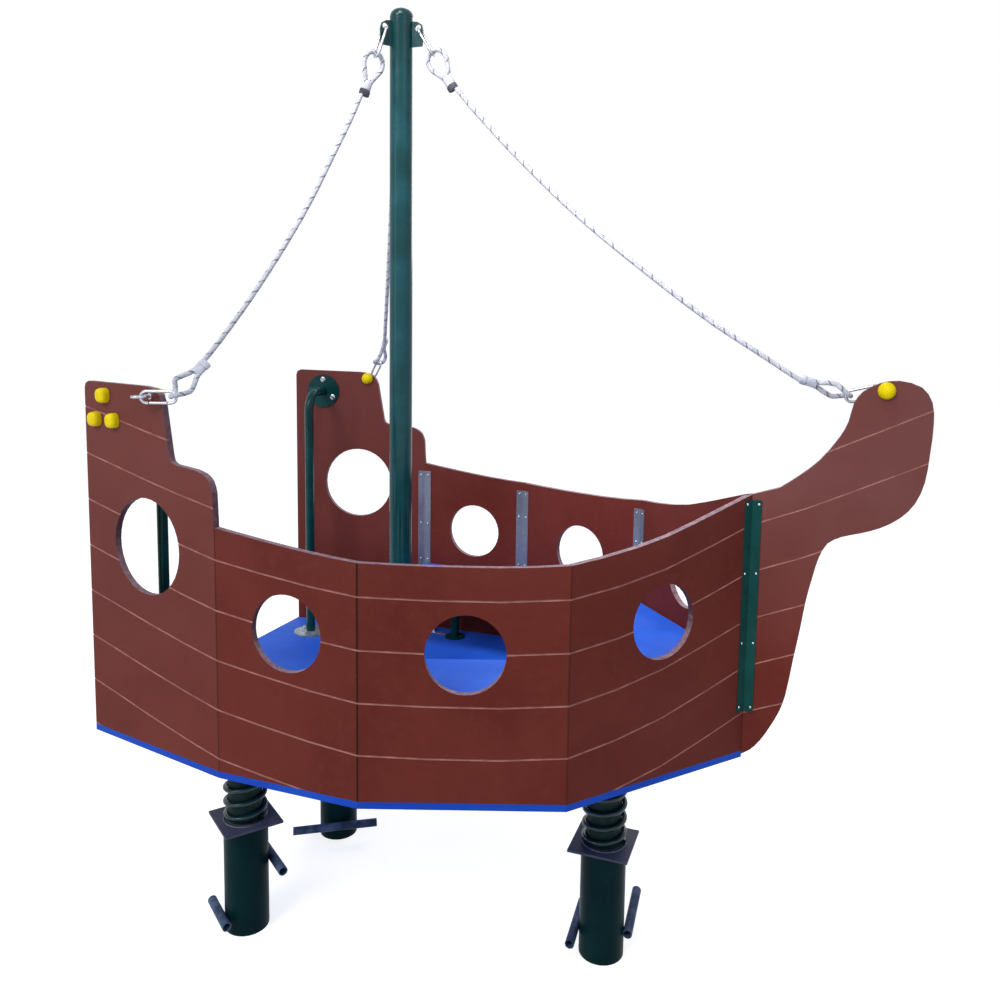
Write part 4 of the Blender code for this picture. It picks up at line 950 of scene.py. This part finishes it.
def springs():
    """Each coil and core in two halves, a lower and an upper."""
    low = SPRING_BASE + COIL_WIRE + GAP
    high = SPRING_BASE + SPRING_H - COIL_WIRE - GAP
    middle = SPRING_BASE + SPRING_H / 2
    turns = (high - low) / COIL_PITCH / (1 - COIL_FLAT)
    count = round(turns * 40)
    radius = COIL_OUTER - COIL_WIRE
    for name, (x, y) in SPRINGS.items():
        x += STERN_X
        points = []
        for k in range(count + 1):
            t = k / count
            angle = 2 * math.pi * turns * t
            points.append(Vector((x + radius * math.cos(angle), y + radius * math.sin(angle),
                                  low + (high - low) * coil_rise(t))))
        half = count // 2
        stretches = (("lower", points[:half + 1], "anchors", "springs", SPRING_BASE + 0.01, middle),
                     ("upper", points[half:], "springs", "hull", middle, SPRING_BASE + SPRING_H - 0.01))
        for part, line, a, b, z0, z1 in stretches:
            bm = bmesh.new()
            sweep(bm, line, lambda *_: COIL_WIRE, 16)
            coil = put(f"coil_{part}_{name}", bm, SPRING_GREEN)
            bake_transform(coil)
            bm = bmesh.new()
            if part == "lower":
                bottom, top = SPRING_BASE + GAP, middle
            else:
                bottom, top = middle, SPRING_BASE + SPRING_H - GAP
            profile = [(0, bottom)]
            profile += [(CORE_R, bottom + (top - bottom) * k / 8) for k in range(9)]
            profile += [(0, top)]
            lathe(bm, profile, (x, y, 0), UP, 32)
            core = put(f"core_{part}_{name}", bm, CORE)
            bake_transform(core)
            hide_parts(f"spring_coil_{name}")
            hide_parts(f"spring_core_{name}")
        weld_ring(f"coil_weld_{name}", Vector((x, y, SPRING_BASE)), COIL_OUTER - 0.002)


# Small fasteners and trim


def rail_fasteners(caps, bolts):
    """Three bolts in each rail flange; those through the panel have a cap outside."""
    for side in (-1, 1):
        plane = PanelPlane(0, side)
        level = math.atan2(-plane.outward.x, plane.outward.y)
        for turn in (90, 210, 330):
            u = RAIL_U[side] + RAIL_BOLT_CIRCLE * math.cos(math.radians(turn))
            z = RAIL_Z + RAIL_BOLT_CIRCLE * math.sin(math.radians(turn))
            dome_cap(caps, plane.at(u, z, 0.0002), plane.outward, level + CAP_TWIST * turn)
            hex_bolt(bolts, plane.at(u, z, -(BOARD + GAP + RAIL_FLANGE)), -plane.outward, turn)
        foot = plane.at(RAIL_U[side], DECK_TOP + GAP + RAIL_FLANGE, -(BOARD + GAP + RAIL_OUT))
        for turn in (30, 150, 270):
            hex_bolt(bolts, foot + direction(turn) * RAIL_BOLT_CIRCLE, UP, turn)


def mast_bolts(bolts):
    for x in (-1, 1):
        for y in (-1, 1):
            hex_bolt(bolts, Vector((STERN_X + MAST_X + MAST_BOLT_REACH * x, MAST_BOLT_REACH * y,
                                    DECK_TOP + GAP + MAST_FLANGE)), UP, 0.3)


def bracket_screws(inside, outside):
    """Pairs of screws up the seam brackets inside the hull and the bow brackets outside."""
    for side in (-1, 1):
        for seam, heights in BRACKET_SCREWS.items():
            a, b = PanelPlane(seam - 1, side), PanelPlane(seam, side)
            bisector = (-a.outward - b.outward).normalized()
            corner = b.start + bisector * BOARD / math.sqrt((1 + a.outward.dot(b.outward)) / 2)
            for z in heights:
                for arm, normal in ((-a.along, -a.outward), (b.along, -b.outward)):
                    screw(inside, corner + arm * BRACKET_SCREW_OUT + normal * BRACKET_FACE + UP * z, normal)
        bow = PanelPlane(3, side)
        for z in BOW_SCREWS:
            for arm, normal in ((-bow.along, bow.outward), (Vector((1, 0, 0)), Vector((0, side, 0)))):
                screw(outside, bow.end + arm * BOW_SCREW_OUT + normal * BRACKET_FACE + UP * (DECK_Z + z),
                      normal, 0.004)


def strap_plate(plate):
    """Small bent strap on the deck."""
    corner = Vector((STERN_X + STRAP_AT[0], STRAP_AT[1], DECK_TOP + GAP))
    for low, high in STRAP_BOXES:
        size = Vector(high) - Vector(low)
        middle = (Vector(high) + Vector(low)) / 2 + corner
        bmesh.ops.create_cube(plate, matrix=Matrix.LocRotScale(middle, None, size))


def fasteners():
    caps, bolts, inside, outside, plate = (bmesh.new() for _ in range(5))
    rail_fasteners(caps, bolts)
    mast_bolts(bolts)
    bracket_screws(inside, outside)
    strap_plate(plate)
    put("deck_strap_plate", plate, BRIGHT, "hull")
    put("rail_bolt_caps", caps, YELLOW, "hull")
    put("flange_bolts", bolts, BRIGHT, "hull")
    put("bracket_screws", inside, BRIGHT, "hull")
    put("bow_bracket_screws", outside, BRIGHT, "hull")


bpy.context.scene.view_settings.view_transform = "Standard"
camera()
studio_world()
studio_floor()
lights()
dress_frame()
ropes()
springs()
fasteners()
